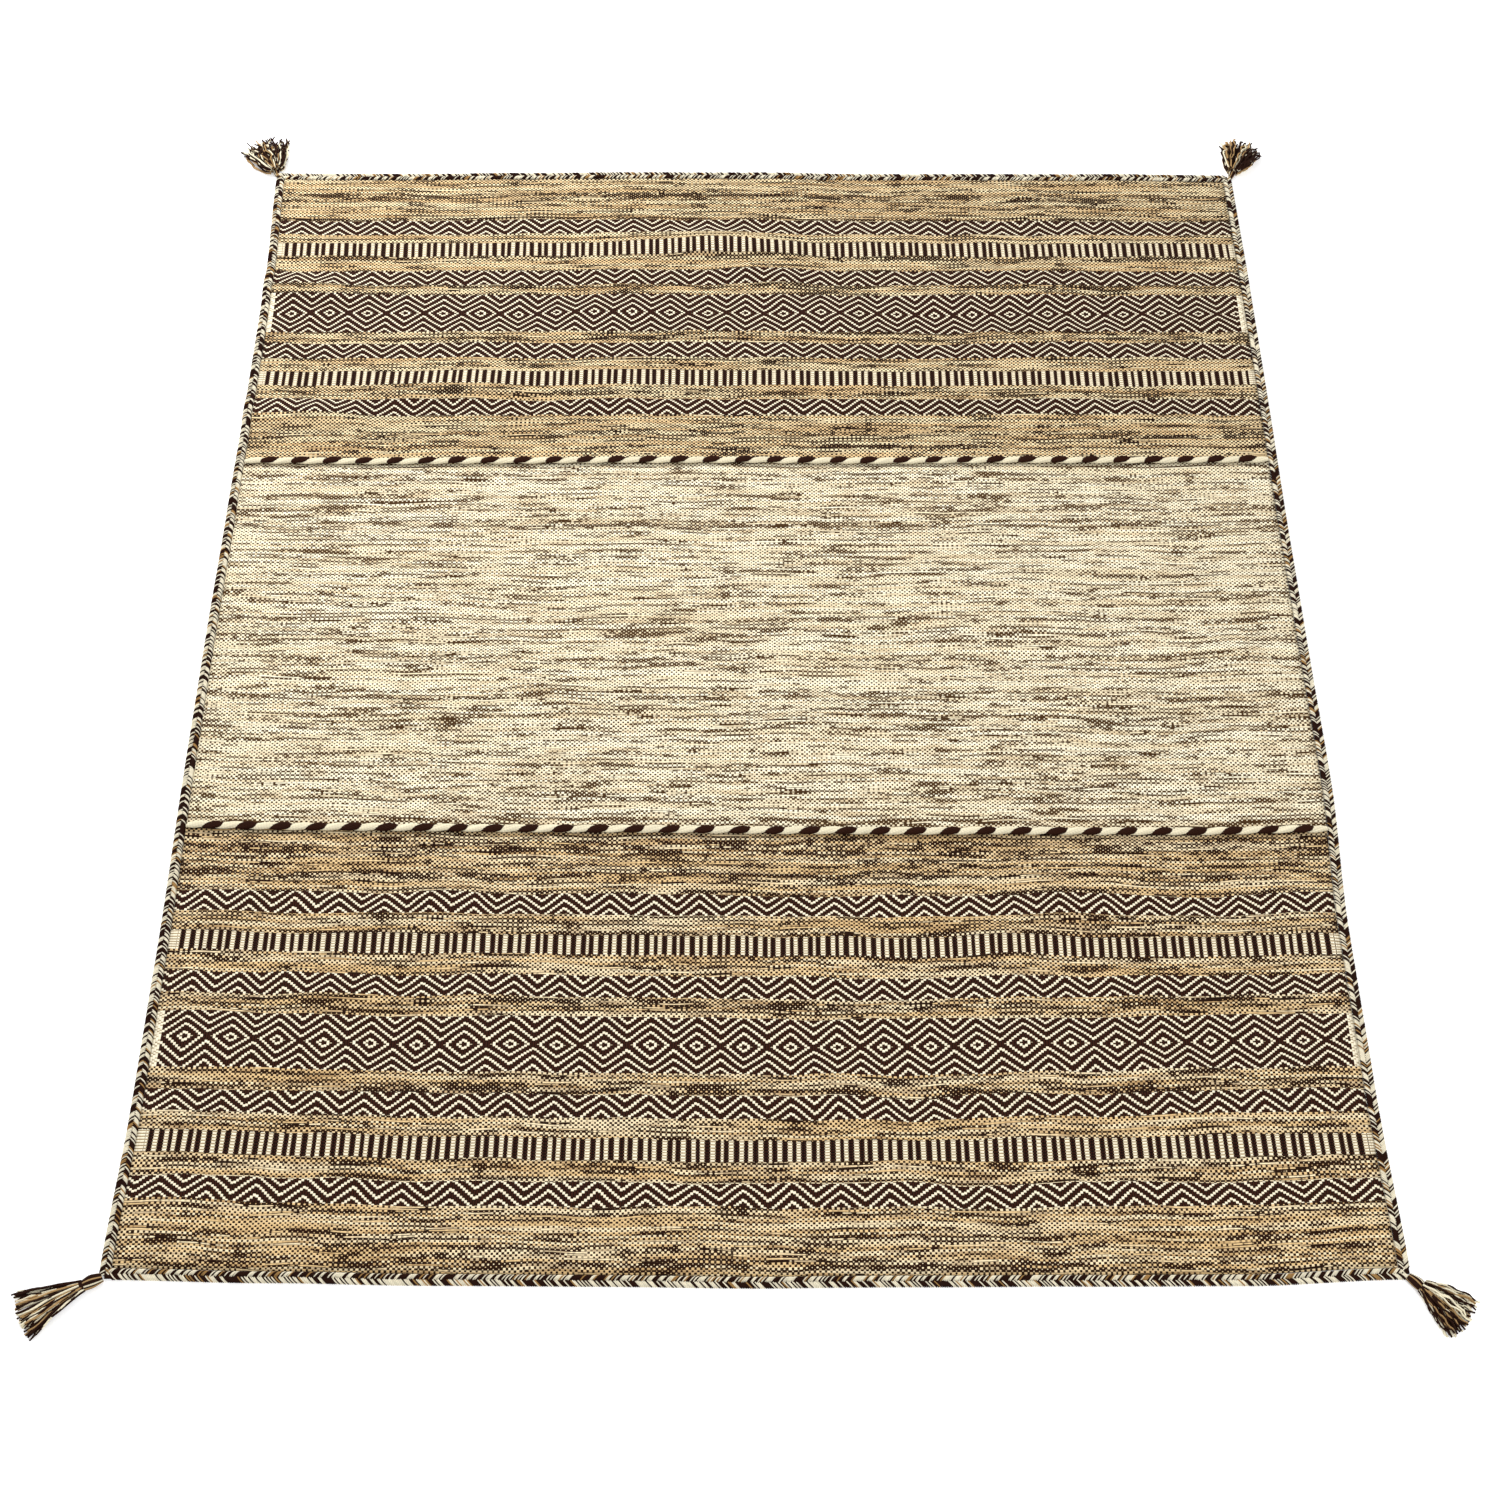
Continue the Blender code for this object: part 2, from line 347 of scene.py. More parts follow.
@dataclass(frozen=True)
class Ripple:
    """A low fold of the cloth: its middle, its crest's heading in degrees, and its sizes."""

    x: float
    y: float
    heading: float
    half_length: float
    half_width: float
    height: float


@dataclass(frozen=True)
class RugPlan:
    """Where every point of the rug lies on the floor, and how high the cloth stands there."""

    width: float = 1.70
    length: float = 2.00
    thickness: float = 0.004
    braid_width: float = 0.016
    seam: float = 0.0003
    bows: tuple[EdgeBow, ...] = (
        EdgeBow(-1.00, 0.002, 0.008, 0.008, 0.005),
        EdgeBow(-0.75, 0.006, 0.008, 0.001, -0.002),
        EdgeBow(-0.50, 0.009, 0.011, 0.000, -0.003),
        EdgeBow(-0.25, 0.010, 0.014, 0.002, 0.006),
        EdgeBow(0.00, 0.012, 0.014, 0.002, 0.004),
        EdgeBow(0.25, 0.010, 0.011, 0.000, 0.003),
        EdgeBow(0.50, 0.009, 0.012, -0.002, 0.004),
        EdgeBow(0.75, 0.008, 0.012, -0.002, 0.004),
        EdgeBow(1.00, -0.001, 0.010, 0.006, 0.002),
    )
    ripples: tuple[Ripple, ...] = (
        Ripple(-0.043, 0.832, -3, 0.21, 0.048, 0.014),
        Ripple(0.015, 0.770, -10, 0.13, 0.036, 0.008),
        Ripple(-0.765, 0.730, -6, 0.14, 0.042, 0.009),
        Ripple(-0.755, 0.452, -4, 0.15, 0.045, 0.010),
        Ripple(-0.530, 0.505, 6, 0.19, 0.050, 0.008),
        Ripple(0.610, 0.160, 5, 0.17, 0.055, 0.007),
        Ripple(0.550, -0.105, 14, 0.16, 0.060, 0.009),
        Ripple(0.745, -0.020, -10, 0.11, 0.055, 0.006),
        Ripple(0.370, -0.215, -4, 0.15, 0.045, 0.006),
        Ripple(0.600, -0.575, 8, 0.18, 0.045, 0.006),
    )
    slack: float = 0.0014
    slack_seed: float = 3.7

    def bow(self, side: str, share: float) -> float:
        """How far a side stands out at this share of its length, on a smooth curve."""
        step = self.bows[1].share - self.bows[0].share
        place = (share - self.bows[0].share) / step
        row = min(max(int(place), 0), len(self.bows) - 2)
        ease = place - row
        ease = ease * ease * (3 - 2 * ease)
        return mix(getattr(self.bows[row], side), getattr(self.bows[row + 1], side), ease)

    def point(self, across: float, along: float, inset: float) -> Vector:
        """The plan at shares -1 to 1 across and along the rug, inside its outline by inset."""
        half_width = self.width / 2 - inset
        half_length = self.length / 2 - inset
        left = -half_width - self.bow("left", along)
        right = half_width + self.bow("right", along)
        near = -half_length - self.bow("near", across)
        far = half_length + self.bow("far", across)
        return Vector((mix(left, right, (across + 1) / 2), mix(near, far, (along + 1) / 2), 0))

    def share_along(self, across: float, y: float, inset: float) -> float:
        """The share along the rug at which the plan reaches y."""
        near = self.point(across, -1, inset).y
        far = self.point(across, 1, inset).y
        return 2 * (y - near) / (far - near) - 1

    @staticmethod
    def swell(share: float) -> float:
        """A smooth bump that is 1 at 0, and flat at 0 from 1 on."""
        return (1 - share * share) ** 2 if abs(share) < 1 else 0.0

    def lift(self, x: float, y: float) -> float:
        """How high the underside stands off the floor: its ripples and the cloth's small slack."""
        height = 0.0
        for ripple in self.ripples:
            turn = math.radians(ripple.heading)
            along = (x - ripple.x) * math.cos(turn) + (y - ripple.y) * math.sin(turn)
            across = (y - ripple.y) * math.cos(turn) - (x - ripple.x) * math.sin(turn)
            rise = self.swell(along / ripple.half_length) * self.swell(across / ripple.half_width)
            height = max(height, ripple.height * rise)
        waves = noise.noise(Vector((x * 5.5, y * 17, self.slack_seed)))
        creases = noise.noise(Vector((x * 13, y * 4, self.slack_seed + 5)))
        return height + self.slack * max(0.0, waves + 0.6 * creases)


PLAN = RugPlan()


class Slot(Enum):
    """The record's material slots."""

    CLOTH = "cloth"
    BRAID = "braid"
    TWINE = "twine"
    TASSEL = "tassel"


def finish_piece(obj: bpy.types.Object, replaced: Sequence[str]) -> None:
    """Lets a piece ride on the rug, in place of its solids.

    Args:
        obj: the finished piece.
        replaced: the solids that it stands for.
    """
    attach(obj, BODY)
    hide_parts(*replaced)
    triangles = sum(len(polygon.vertices) - 2 for polygon in obj.data.polygons)
    LOG.info("%s: %d triangles", obj.name, triangles)


# Weave: what both end panels and the field share


@dataclass(frozen=True)
class Weave:
    """A plain weave of thick weft over thin warps: rows of beads, with a hollow between each two.

    Beads of one row stand over the hollows of the next, so they lie like a chequerboard.
    """

    rib: float = 0.00359
    row: float = 0.00310

    def build(self) -> bpy.types.NodeTree:
        """Draws the group that finds the row and the rib at a place.

        Returns:
            The group: Chequer is 1 on a bead and -1 in a hollow, Rib Crown and Row Crown are 1 along
            the middle of a rib and a row, Rib Middle and Row Number tell which they are, and Throw
            is a throw from 0 to 1 for each bead.
        """
        sketch, given, out = start_group(
            "weft_beads",
            "ShaderNodeTree",
            [
                Socket("Across"),
                Socket("Along"),
                Socket("Rib", value=self.rib),
                Socket("Row", value=self.row),
            ],
            [
                Socket(name)
                for name in ("Chequer", "Rib Crown", "Row Crown", "Rib Middle", "Row Number", "Throw")
            ],
        )
        column = given["Across"] / given["Rib"]
        row = given["Along"] / given["Row"]
        rib_wave = (column * math.pi).work("COSINE")
        row_wave = (row * math.pi).work("COSINE")
        rib_number = column.work("ROUND")
        row_number = row.work("ROUND")
        sketch.feed(out.inputs["Chequer"], rib_wave * row_wave)
        sketch.feed(out.inputs["Rib Crown"], rib_wave.work("ABSOLUTE"))
        sketch.feed(out.inputs["Row Crown"], row_wave.work("ABSOLUTE"))
        sketch.feed(out.inputs["Rib Middle"], rib_number * given["Rib"])
        sketch.feed(out.inputs["Row Number"], row_number)
        throw = sketch.place(
            "ShaderNodeTexWhiteNoise",
            {"Vector": sketch.vector(rib_number, row_number)},
            noise_dimensions="2D",
        )
        sketch.feed(out.inputs["Throw"], throw)
        return sketch.tree


@dataclass(frozen=True)
class Melange:
    """A weft spun from light and brown cotton, whose brown comes and goes along each row.

    The weights tell how much the long runs, the flecks, the drift over several rows and the row's
    own throw count. Above the strong level a row turns dark at once.
    """

    streak: float = 0.080
    fleck: float = 0.010
    line_run: float = 0.085
    run_weight: float = 1.30
    fleck_weight: float = 0.30
    drift_weight: float = 0.14
    row_weight: float = 0.30
    bead_scatter: float = 0.14
    strong_level: float = 0.12
    strong_share: float = 0.55

    def build(self) -> bpy.types.NodeTree:
        """Draws the group that tells how brown the weft is, and how it lies.

        Returns:
            The group: Brown tells how wide the row's hollows open, Deep is 1 where the beads are
            brown too, and Line is 1 where the row lies flat as a line, with no beads.
        """
        sketch, given, out = start_group(
            "melange_weft",
            "ShaderNodeTree",
            [
                Socket("Across"),
                Socket("Along"),
                Socket("Row Number"),
                Socket("Throw"),
                Socket("Streak", value=self.streak),
                Socket("Fleck", value=self.fleck),
                Socket("Line Run", value=self.line_run),
                Socket("Brown Share", value=0.5),
                Socket("Line Share", value=0.35),
                Socket("Seed"),
            ],
            [Socket("Brown"), Socket("Deep"), Socket("Line")],
        )
        lane = given["Row Number"] * 17.31 + given["Seed"]
        across = given["Across"]
        long_run = sketch.cloud(sketch.vector(across / given["Streak"], lane), 2.0)
        short_run = sketch.cloud(sketch.vector(across / given["Fleck"], lane + 7.7), 0.0)
        drift = sketch.cloud(sketch.vector(across * 4.0, given["Along"] * 30.0 + given["Seed"]), 1.0)
        row = sketch.dice(given["Row Number"] + given["Seed"])
        total = long_run * self.run_weight + short_run * self.fleck_weight
        total = total + drift * self.drift_weight + row * self.row_weight
        weights = self.run_weight + self.fleck_weight + self.drift_weight + self.row_weight
        scatter = (given["Throw"] - 0.5) * self.bead_scatter
        level = total - weights / 2 + scatter + given["Brown Share"] - 0.5
        even = level.ramp(-0.3, 0.3) * (1.0 - self.strong_share)
        strong = (level - self.strong_level).ramp(-0.05, 0.05) * self.strong_share
        sketch.feed(out.inputs["Brown"], even + strong)
        thread = sketch.cloud(sketch.vector(across / given["Streak"] * 1.4, lane + 11.9), 2.0)
        sketch.feed(out.inputs["Deep"], (thread + row * 0.16).ramp(0.58, 0.74))
        lie = sketch.cloud(sketch.vector(across / given["Line Run"], lane + 3.3), 1.0)
        threshold = 0.5 - (given["Line Share"] - 0.5) * 0.4
        sketch.feed(out.inputs["Line"], (lie - threshold).ramp(-0.03, 0.03))
        return sketch.tree


@dataclass(frozen=True)
class Ornament:
    """The measures that every patterned band shares.

    Line is the height of one brown and one cream zigzag line together, and dark is the brown share
    of it. The bars of the ladder start and end at warps counted from the middle of the first bar.
    """

    repeat: float = 0.0646
    warps: int = 18
    zigzag_start: float = -0.0171
    ladder_start: float = -0.0141
    line: float = 0.0128
    dark: float = 0.66
    bead: float = 0.0041
    scallop: float = 0.00065
    bars: tuple[tuple[float, float], ...] = ((-1.0, 0.76), (2.45, 4.60), (6.48, 8.44))

    def build_zigzag(self) -> bpy.types.NodeTree:
        """Draws the chart of nested zigzag lines.

        Returns:
            The group: Dark is 1 on a brown line, and Crown is 1 along the middle of each line.
            Depth runs down from the band's far border, or out from the middle of a diamond band,
            where Centre is 1.
        """
        sketch, given, out = start_group(
            "zigzag_chart",
            "ShaderNodeTree",
            [
                Socket("Across"),
                Socket("Depth"),
                Socket("Centre"),
                Socket("Repeat", value=self.repeat),
                Socket("Start", value=self.zigzag_start),
                Socket("Line", value=self.line),
                Socket("Dark Share", value=self.dark),
            ],
            [Socket("Dark"), Socket("Crown")],
        )
        turn = ((given["Across"] - given["Start"]) / given["Repeat"]) % 1.0
        fall = 1.0 - (turn * 2.0 - 1.0).work("ABSOLUTE")
        way = given["Centre"] * 4.0 - 2.0
        shift = given["Centre"] * given["Dark Share"] * 0.5
        phase = (given["Depth"] / given["Line"] + fall * way + shift) % 1.0
        dark = phase.below(given["Dark Share"])
        sketch.feed(out.inputs["Dark"], dark)
        in_dark = phase / given["Dark Share"]
        in_light = (phase - given["Dark Share"]) / (1.0 - given["Dark Share"])
        lie = in_dark * dark + in_light * (1.0 - dark)
        sketch.feed(out.inputs["Crown"], (lie * math.pi).work("SINE"))
        return sketch.tree

    def build_ladder(self) -> bpy.types.NodeTree:
        """Draws the chart of upright bars, five brown and five cream in a repeat.

        Returns:
            The group: Dark is 1 on a brown bar, and Crown is 1 on the bars' beads.
        """
        sketch, given, out = start_group(
            "ladder_chart",
            "ShaderNodeTree",
            [
                Socket("Across"),
                Socket("Depth"),
                Socket("Repeat", value=self.repeat),
                Socket("Start", value=self.ladder_start),
                Socket("Bead", value=self.bead),
                Socket("Scallop", value=self.scallop),
            ],
            [Socket("Dark"), Socket("Crown")],
        )
        bead = (given["Depth"] / given["Bead"] * FULL_TURN).work("COSINE")
        across = given["Across"] - given["Start"]
        turn = (across / given["Repeat"]) % 1.0
        scallop = bead * given["Scallop"] / given["Repeat"] * float(self.warps)
        warp = (1.0 - (turn * 2.0 - 1.0).work("ABSOLUTE")) * (self.warps / 2)
        dark = sum(
            warp.above(start - scallop) * warp.below(end + scallop) for start, end in self.bars
        )
        sketch.feed(out.inputs["Dark"], dark)
        sketch.feed(out.inputs["Crown"], bead * 0.5 + 0.5)
        return sketch.tree


class Pattern(Enum):
    """The traditional bands of the end panels."""

    ZIGZAG = "zigzag"
    LADDER = "ladder"
    DIAMOND = "diamond"


@dataclass(frozen=True)
class Band:
    """One patterned band across an end panel, between two places in metres from the middle."""

    pattern: Pattern
    near: float
    far: float


@dataclass(frozen=True)
class Pull:
    """A place where the rows run askew: its middle, how far it reaches, and the rows' shift."""

    across: float
    along: float
    wide: float
    deep: float
    shift: float


@dataclass(frozen=True)
class Dye:
    """The cottons of one length of the cloth, as dyer's shades.

    Deep is the dark painted into the hollows between the beads: partly the brown weft seen there,
    partly painted shade. Hollow tells how deep a spot between the beads has to lie to look dark:
    first where the weft is all light, then where it is all brown.
    """

    light: str
    warm: str
    brown: str
    # deep: painted shade of the hollows between the beads, over the brown weft seen there
    deep: str
    hollow: tuple[float, float]
    line_share: float
    seed: float
    brown_share: float = 0.50


@dataclass(frozen=True)
class ClothGroups:
    """The node groups that every length of the cloth shares."""

    weave: bpy.types.NodeTree
    melange: bpy.types.NodeTree
    zigzag: bpy.types.NodeTree
    ladder: bpy.types.NodeTree


@dataclass(frozen=True)
class ClothSpot:
    """A place in the cloth's material: across and along the cloth, and the bead that lies there."""

    sketch: Sketch
    across: Signal
    along: Signal
    bead: Mapping[str, Signal]


@dataclass(frozen=True)
class WovenCotton:
    """The finish of the cloth: mélange ground, patterned bands and the relief of its beads.

    Row wander and rib sway are how far the rows and the ribs stray from straight lines, and the end
    block is the plain stretch at both ends of a ladder or diamond band.
    """

    name: str
    dye: Dye
    bands: tuple[Band, ...]
    near_end: float
    far_end: float
    left: float
    right: float
    dark_share: float
    cream: str = "F4EAD0"
    cream_shadow: str = "9C8764"
    dark: str = "381A0E"
    dark_shadow: str = "090301"
    bead_shadow: str = "241710"
    end_block: float = 0.009
    relief: float = 0.0008
    row_wander: float = 0.0120
    rib_sway: float = 0.0022
    bead_shadow_share: float = 0.20

    def build(self, groups: ClothGroups) -> bpy.types.Material:
        """Makes the material.

        Args:
            groups: the cloth's node groups.

        Returns:
            The material, which reads the cloth's own map.
        """
        material, sketch = start_material(self.name)
        own_map = sketch.place("ShaderNodeUVMap", {}, uv_map=BAKE_MAP)
        parts = sketch.add("ShaderNodeSeparateXYZ")
        sketch.feed(parts.inputs[0], own_map)
        across = Signal(sketch, parts.outputs[0]) * (self.right - self.left) + self.left
        along = Signal(sketch, parts.outputs[1]) * (self.far_end - self.near_end) + self.near_end
        wander = sketch.cloud(sketch.vector(across * 7.0, along * 14.0 + self.dye.seed), 2.0)
        sway = sketch.cloud(sketch.vector(across * 30.0 + 4.0, along * 9.0), 1.0)
        along = self.pull_rows(across, along) + (wander - 0.5) * self.row_wander
        across = across + (sway - 0.5) * self.rib_sway
        bead = use_group(sketch, groups.weave, {"Across": across, "Along": along})
        spot = ClothSpot(sketch, across, along, bead)
        ground, ground_height = self.spin_ground(spot, groups)
        dark, banded, crown = self.chart(spot, groups)
        edge = crown.ramp(0.0, 0.75)
        light_line = sketch.blend(edge, cotton(self.cream_shadow), cotton(self.cream))
        dark_line = sketch.blend(
            edge * bead["Rib Crown"] * 0.9, cotton(self.dark_shadow), cotton(self.dark)
        )
        figure = sketch.blend(dark, light_line, dark_line)
        colour = sketch.blend(banded, ground, figure)
        band_height = crown * 0.6 + bead["Rib Crown"] * 0.4
        height = ground_height * (1.0 - banded) + band_height * banded
        dulled = bead["Throw"] * self.bead_shadow_share
        colour = sketch.blend(dulled, colour, cotton(self.bead_shadow))
        finish_cotton(sketch, colour, height, self.relief, rough=0.96, polish=0.1)
        return material

    def pull_rows(self, across: Signal, along: Signal) -> Signal:
        """Shifts the rows at the places where they run askew.

        Args:
            across: the place across the cloth.
            along: the place along it.

        Returns:
            The place along the cloth as the weaver counted it.
        """
        counted = along
        for pull in PULLS:
            aside = ((across - pull.across).work("ABSOLUTE") / pull.wide).ramp(1.0, 0.0)
            away = ((along - pull.along).work("ABSOLUTE") / pull.deep).ramp(1.0, 0.0)
            counted = counted - aside * away * pull.shift
        return counted

    def spin_ground(self, spot: ClothSpot, groups: ClothGroups) -> tuple[Signal, Signal]:
        """Colours the plain ground, bead by bead and row by row, with painted shade in the hollows
        between the beads and the grooves between the rows, mixed with the brown weft seen there.

        Args:
            spot: the place on the cloth.
            groups: the cloth's node groups.

        Returns:
            The ground's colour, with its painted shade, and its relief.
        """
        sketch, bead = spot.sketch, spot.bead
        place = {"Across": spot.across, "Along": spot.along}
        own_bead = {name: bead[name] for name in ("Row Number", "Throw")}
        own_dye = measures(self.dye, ("Brown Share", "Line Share", "Seed"))
        weft = use_group(sketch, groups.melange, {**place, **own_bead, **own_dye})
        warmth = sketch.cloud(sketch.vector(spot.across * 2.5, bead["Row Number"] * 0.7), 1.0)
        light = sketch.blend(warmth.ramp(0.38, 0.62), cotton(self.dye.light), cotton(self.dye.warm))
        light = sketch.blend(weft["Deep"] * 0.5, light, cotton(self.dye.brown))
        closed, opened = self.dye.hollow
        edge = closed + weft["Brown"] * (opened - closed)
        # Painted shade: the dye's deep shade fills the hollows between the beads, and the grooves
        # between the rows where the weft lies as a line; the brown weft shows there too.
        dot = (bead["Chequer"] * -1.0 - edge).ramp(-0.10, 0.10)
        groove = (0.62 - edge - bead["Row Crown"]).ramp(-0.12, 0.12)
        hollow_brown_and_shade = dot + (groove - dot) * weft["Line"]
        colour = sketch.blend(hollow_brown_and_shade, light, cotton(self.dye.deep))
        beads = bead["Chequer"] * 0.5 + 0.5
        height = beads + (bead["Row Crown"] - beads) * weft["Line"]
        return colour, height

    def chart(self, spot: ClothSpot, groups: ClothGroups) -> tuple[Signal, Signal, Signal]:
        """Charts the patterned bands, rib by rib.

        Args:
            spot: the place on the cloth.
            groups: the cloth's node groups.

        Returns:
            Where the figure is brown, where there is a band at all, and the relief of its lines.
        """
        sketch, along, bead = spot.sketch, spot.along, spot.bead
        nothing = sketch.place("ShaderNodeMath", {0: 0.0, 1: 0.0})
        dark, banded, crown = nothing, nothing, nothing
        middle = (self.left + self.right) / 2
        body = (self.right - self.left) / 2 - self.end_block
        open_part = (bead["Rib Middle"] - middle).work("ABSOLUTE").below(body)
        for band in self.bands:
            inside = along.above(band.near) * along.below(band.far)
            values: dict[str, object] = {"Across": bead["Rib Middle"], "Depth": band.far - along}
            group = groups.zigzag
            if band.pattern is Pattern.LADDER:
                values["Across"] = spot.across
                group = groups.ladder
            else:
                values["Dark Share"] = self.dark_share
            if band.pattern is Pattern.DIAMOND:
                values["Depth"] = (along - (band.near + band.far) / 2).work("ABSOLUTE")
                values["Centre"] = 1.0
            figure = use_group(sketch, group, values)
            drawn = figure["Dark"]
            if band.pattern is not Pattern.ZIGZAG:
                drawn = drawn * open_part
            dark = dark + inside * drawn
            crown = crown + inside * figure["Crown"]
            banded = banded + inside
        return dark, banded, crown


@dataclass(frozen=True)
class TwineLine:
    """Where a twined cord crosses the rug, and so where two lengths of the cloth meet."""

    share: float
    tilt: float

    def y(self, x: float) -> float:
        """The line's place along the rug, at x."""
        half_width = PLAN.width / 2 - PLAN.braid_width
        return PLAN.point(x / half_width, self.share, 0).y + self.tilt * x / half_width


NEAR_TWINE = TwineLine(share=-0.3311, tilt=-0.003)
FAR_TWINE = TwineLine(share=0.3495, tilt=0.003)


@dataclass
class ClothLength:
    """One length of the woven cloth, from one border line to the next, as a closed thin sheet."""

    name: str
    near_line: Optional[TwineLine]
    far_line: Optional[TwineLine]
    cells_across: int = 186
    cell: float = 0.009

    def share_at(self, line: Optional[TwineLine], across: float, outer: float) -> float:
        """The share along the rug of one border of this length."""
        if line is None:
            return outer
        inset = PLAN.braid_width + PLAN.seam
        x = PLAN.point(across, line.share, inset).x
        return PLAN.share_along(across, line.y(x), inset)

    def build(self, material: bpy.types.Material) -> None:
        """Builds the sheet: top, underside and rim, with its map.

        Args:
            material: the woven finish.
        """
        inset = PLAN.braid_width + PLAN.seam
        middle = [self.share_at(self.near_line, 0, -1), self.share_at(self.far_line, 0, 1)]
        rows = round((middle[1] - middle[0]) * PLAN.length / 2 / self.cell)
        columns = self.cells_across
        points: list[tuple[float, float, float]] = []
        spots: list[tuple[float, float]] = []
        for top in (True, False):
            for row in range(rows + 1):
                for column in range(columns + 1):
                    u = column / columns
                    v = row / rows
                    across = 2 * u - 1
                    low = self.share_at(self.near_line, across, -1)
                    high = self.share_at(self.far_line, across, 1)
                    at = PLAN.point(across, mix(low, high, v), inset)
                    rise = PLAN.lift(at.x, at.y)
                    points.append((at.x, at.y, rise + (PLAN.thickness if top else 0)))
                    spots.append((u, v))
        faces, corners = self.stitch(columns, rows, spots)
        mesh = bpy.data.meshes.new(self.name)
        mesh.from_pydata(points, [], faces)
        layer = mesh.uv_layers.new(name=BAKE_MAP)
        layer.data.foreach_set("uv", np.array(corners, np.float32).ravel())
        mesh.polygons.foreach_set("use_smooth", [True] * len(mesh.polygons))
        mesh.materials.append(material)
        mesh.validate()
        obj = bpy.data.objects.new(self.name, mesh)
        bpy.context.scene.collection.objects.link(obj)
        finish_piece(obj, ["rug_cloth"])

    @staticmethod
    def stitch(
        columns: int, rows: int, spots: Sequence[tuple[float, float]]
    ) -> tuple[list[tuple[int, ...]], list[tuple[float, float]]]:
        """Lists the faces of a closed sheet, and each corner's place on the map.

        Args:
            columns: cells across.
            rows: cells along.
            spots: each point's place on the map.

        Returns:
            The faces, and the map's corners in the same order.
        """
        wide = columns + 1
        under = wide * (rows + 1)
        faces: list[tuple[int, ...]] = []
        for row in range(rows):
            for column in range(columns):
                a = row * wide + column
                faces.append((a, a + 1, a + 1 + wide, a + wide))
        faces += [tuple(point + under for point in reversed(face)) for face in faces]
        corners = [spots[point] for face in faces for point in face]
        rim = [column for column in range(columns)]
        rim += [columns + row * wide for row in range(rows)]
        rim += [rows * wide + column for column in range(columns, 0, -1)]
        rim += [row * wide for row in range(rows, 0, -1)]
        tuck = 0.004
        for start, end in zip(rim, rim[1:] + rim[:1]):
            faces.append((start, start + under, end + under, end))
            inner = []
            for point in (start, end):
                u, v = spots[point]
                inner.append((min(max(u, tuck), 1 - tuck), min(max(v, tuck), 1 - tuck)))
            corners += [spots[start], inner[0], inner[1], spots[end]]
        return faces, corners


# Yarn: plait, cords and tassels

YARN_SIDES = 6
MAP_CELL_MARGIN = 0.04
WHOLE = "NodeSocketInt"


@dataclass(frozen=True)
class YarnCotton:
    """The finish of loose or plaited yarns: a shade for each yarn, and its twisted fibres."""

    name: str
    shades: tuple[tuple[float, str], ...]
    turns: float = 3.0
    relief: float = 0.00025
    shadow: str = "140B06"

    def build(self, fibres: bpy.types.NodeTree) -> bpy.types.Material:
        """Makes the material.

        Args:
            fibres: the group of twisted fibres.

        Returns:
            The material, which reads each yarn's own attributes.
        """
        material, sketch = start_material(self.name)
        read = {
            name: sketch.place("ShaderNodeAttribute", {}, "Fac", attribute_name=name)
            for name in ("tone", "lot", "around", "down")
        }
        ramp = sketch.add("ShaderNodeValToRGB")
        ramp.color_ramp.interpolation = "CONSTANT"
        elements = ramp.color_ramp.elements
        elements[0].color = cotton(self.shades[0][1])
        elements[1].position = self.shades[1][0]
        elements[1].color = cotton(self.shades[1][1])
        for position, shade in self.shades[2:]:
            elements.new(position).color = cotton(shade)
        sketch.feed(ramp.inputs[0], read["tone"])
        lie = {name.title(): read[name] for name in ("around", "down", "lot")}
        twist = use_group(sketch, fibres, {**lie, "Turns": self.turns})
        dyed = Signal(sketch, ramp.outputs[0])
        colour = sketch.blend(twist["Shade"], dyed, cotton(self.shadow))
        finish_cotton(sketch, colour, twist["Height"], self.relief, rough=0.95, polish=0.12)
        return material


def build_fibres() -> bpy.types.NodeTree:
    """Draws the group of twisted fibres that every yarn shares.

    Returns:
        The group: Height is the relief of the plies, Shade how much darker the yarn is there.
    """
    sketch, given, out = start_group(
        "twisted_fibres",
        "ShaderNodeTree",
        [Socket("Around"), Socket("Down"), Socket("Lot"), Socket("Turns", value=3.0)],
        [Socket("Height"), Socket("Shade")],
    )
    turn = (given["Around"] + given["Down"] * given["Turns"]) * FULL_TURN
    ply = turn.work("SINE") * 0.5 + 0.5
    lane = given["Lot"] * 91.0
    fuzz = sketch.cloud(sketch.vector(given["Around"] * 3.0 + lane, given["Down"] * 9.0 + lane), 1.0)
    sketch.feed(out.inputs["Height"], ply * 0.7 + fuzz * 0.3)
    shade = (1.0 - ply) * 0.16 + given["Lot"] * 0.16 + fuzz * 0.16 - 0.04
    sketch.feed(out.inputs["Shade"], shade.work("MAXIMUM", 0.0))
    return sketch.tree


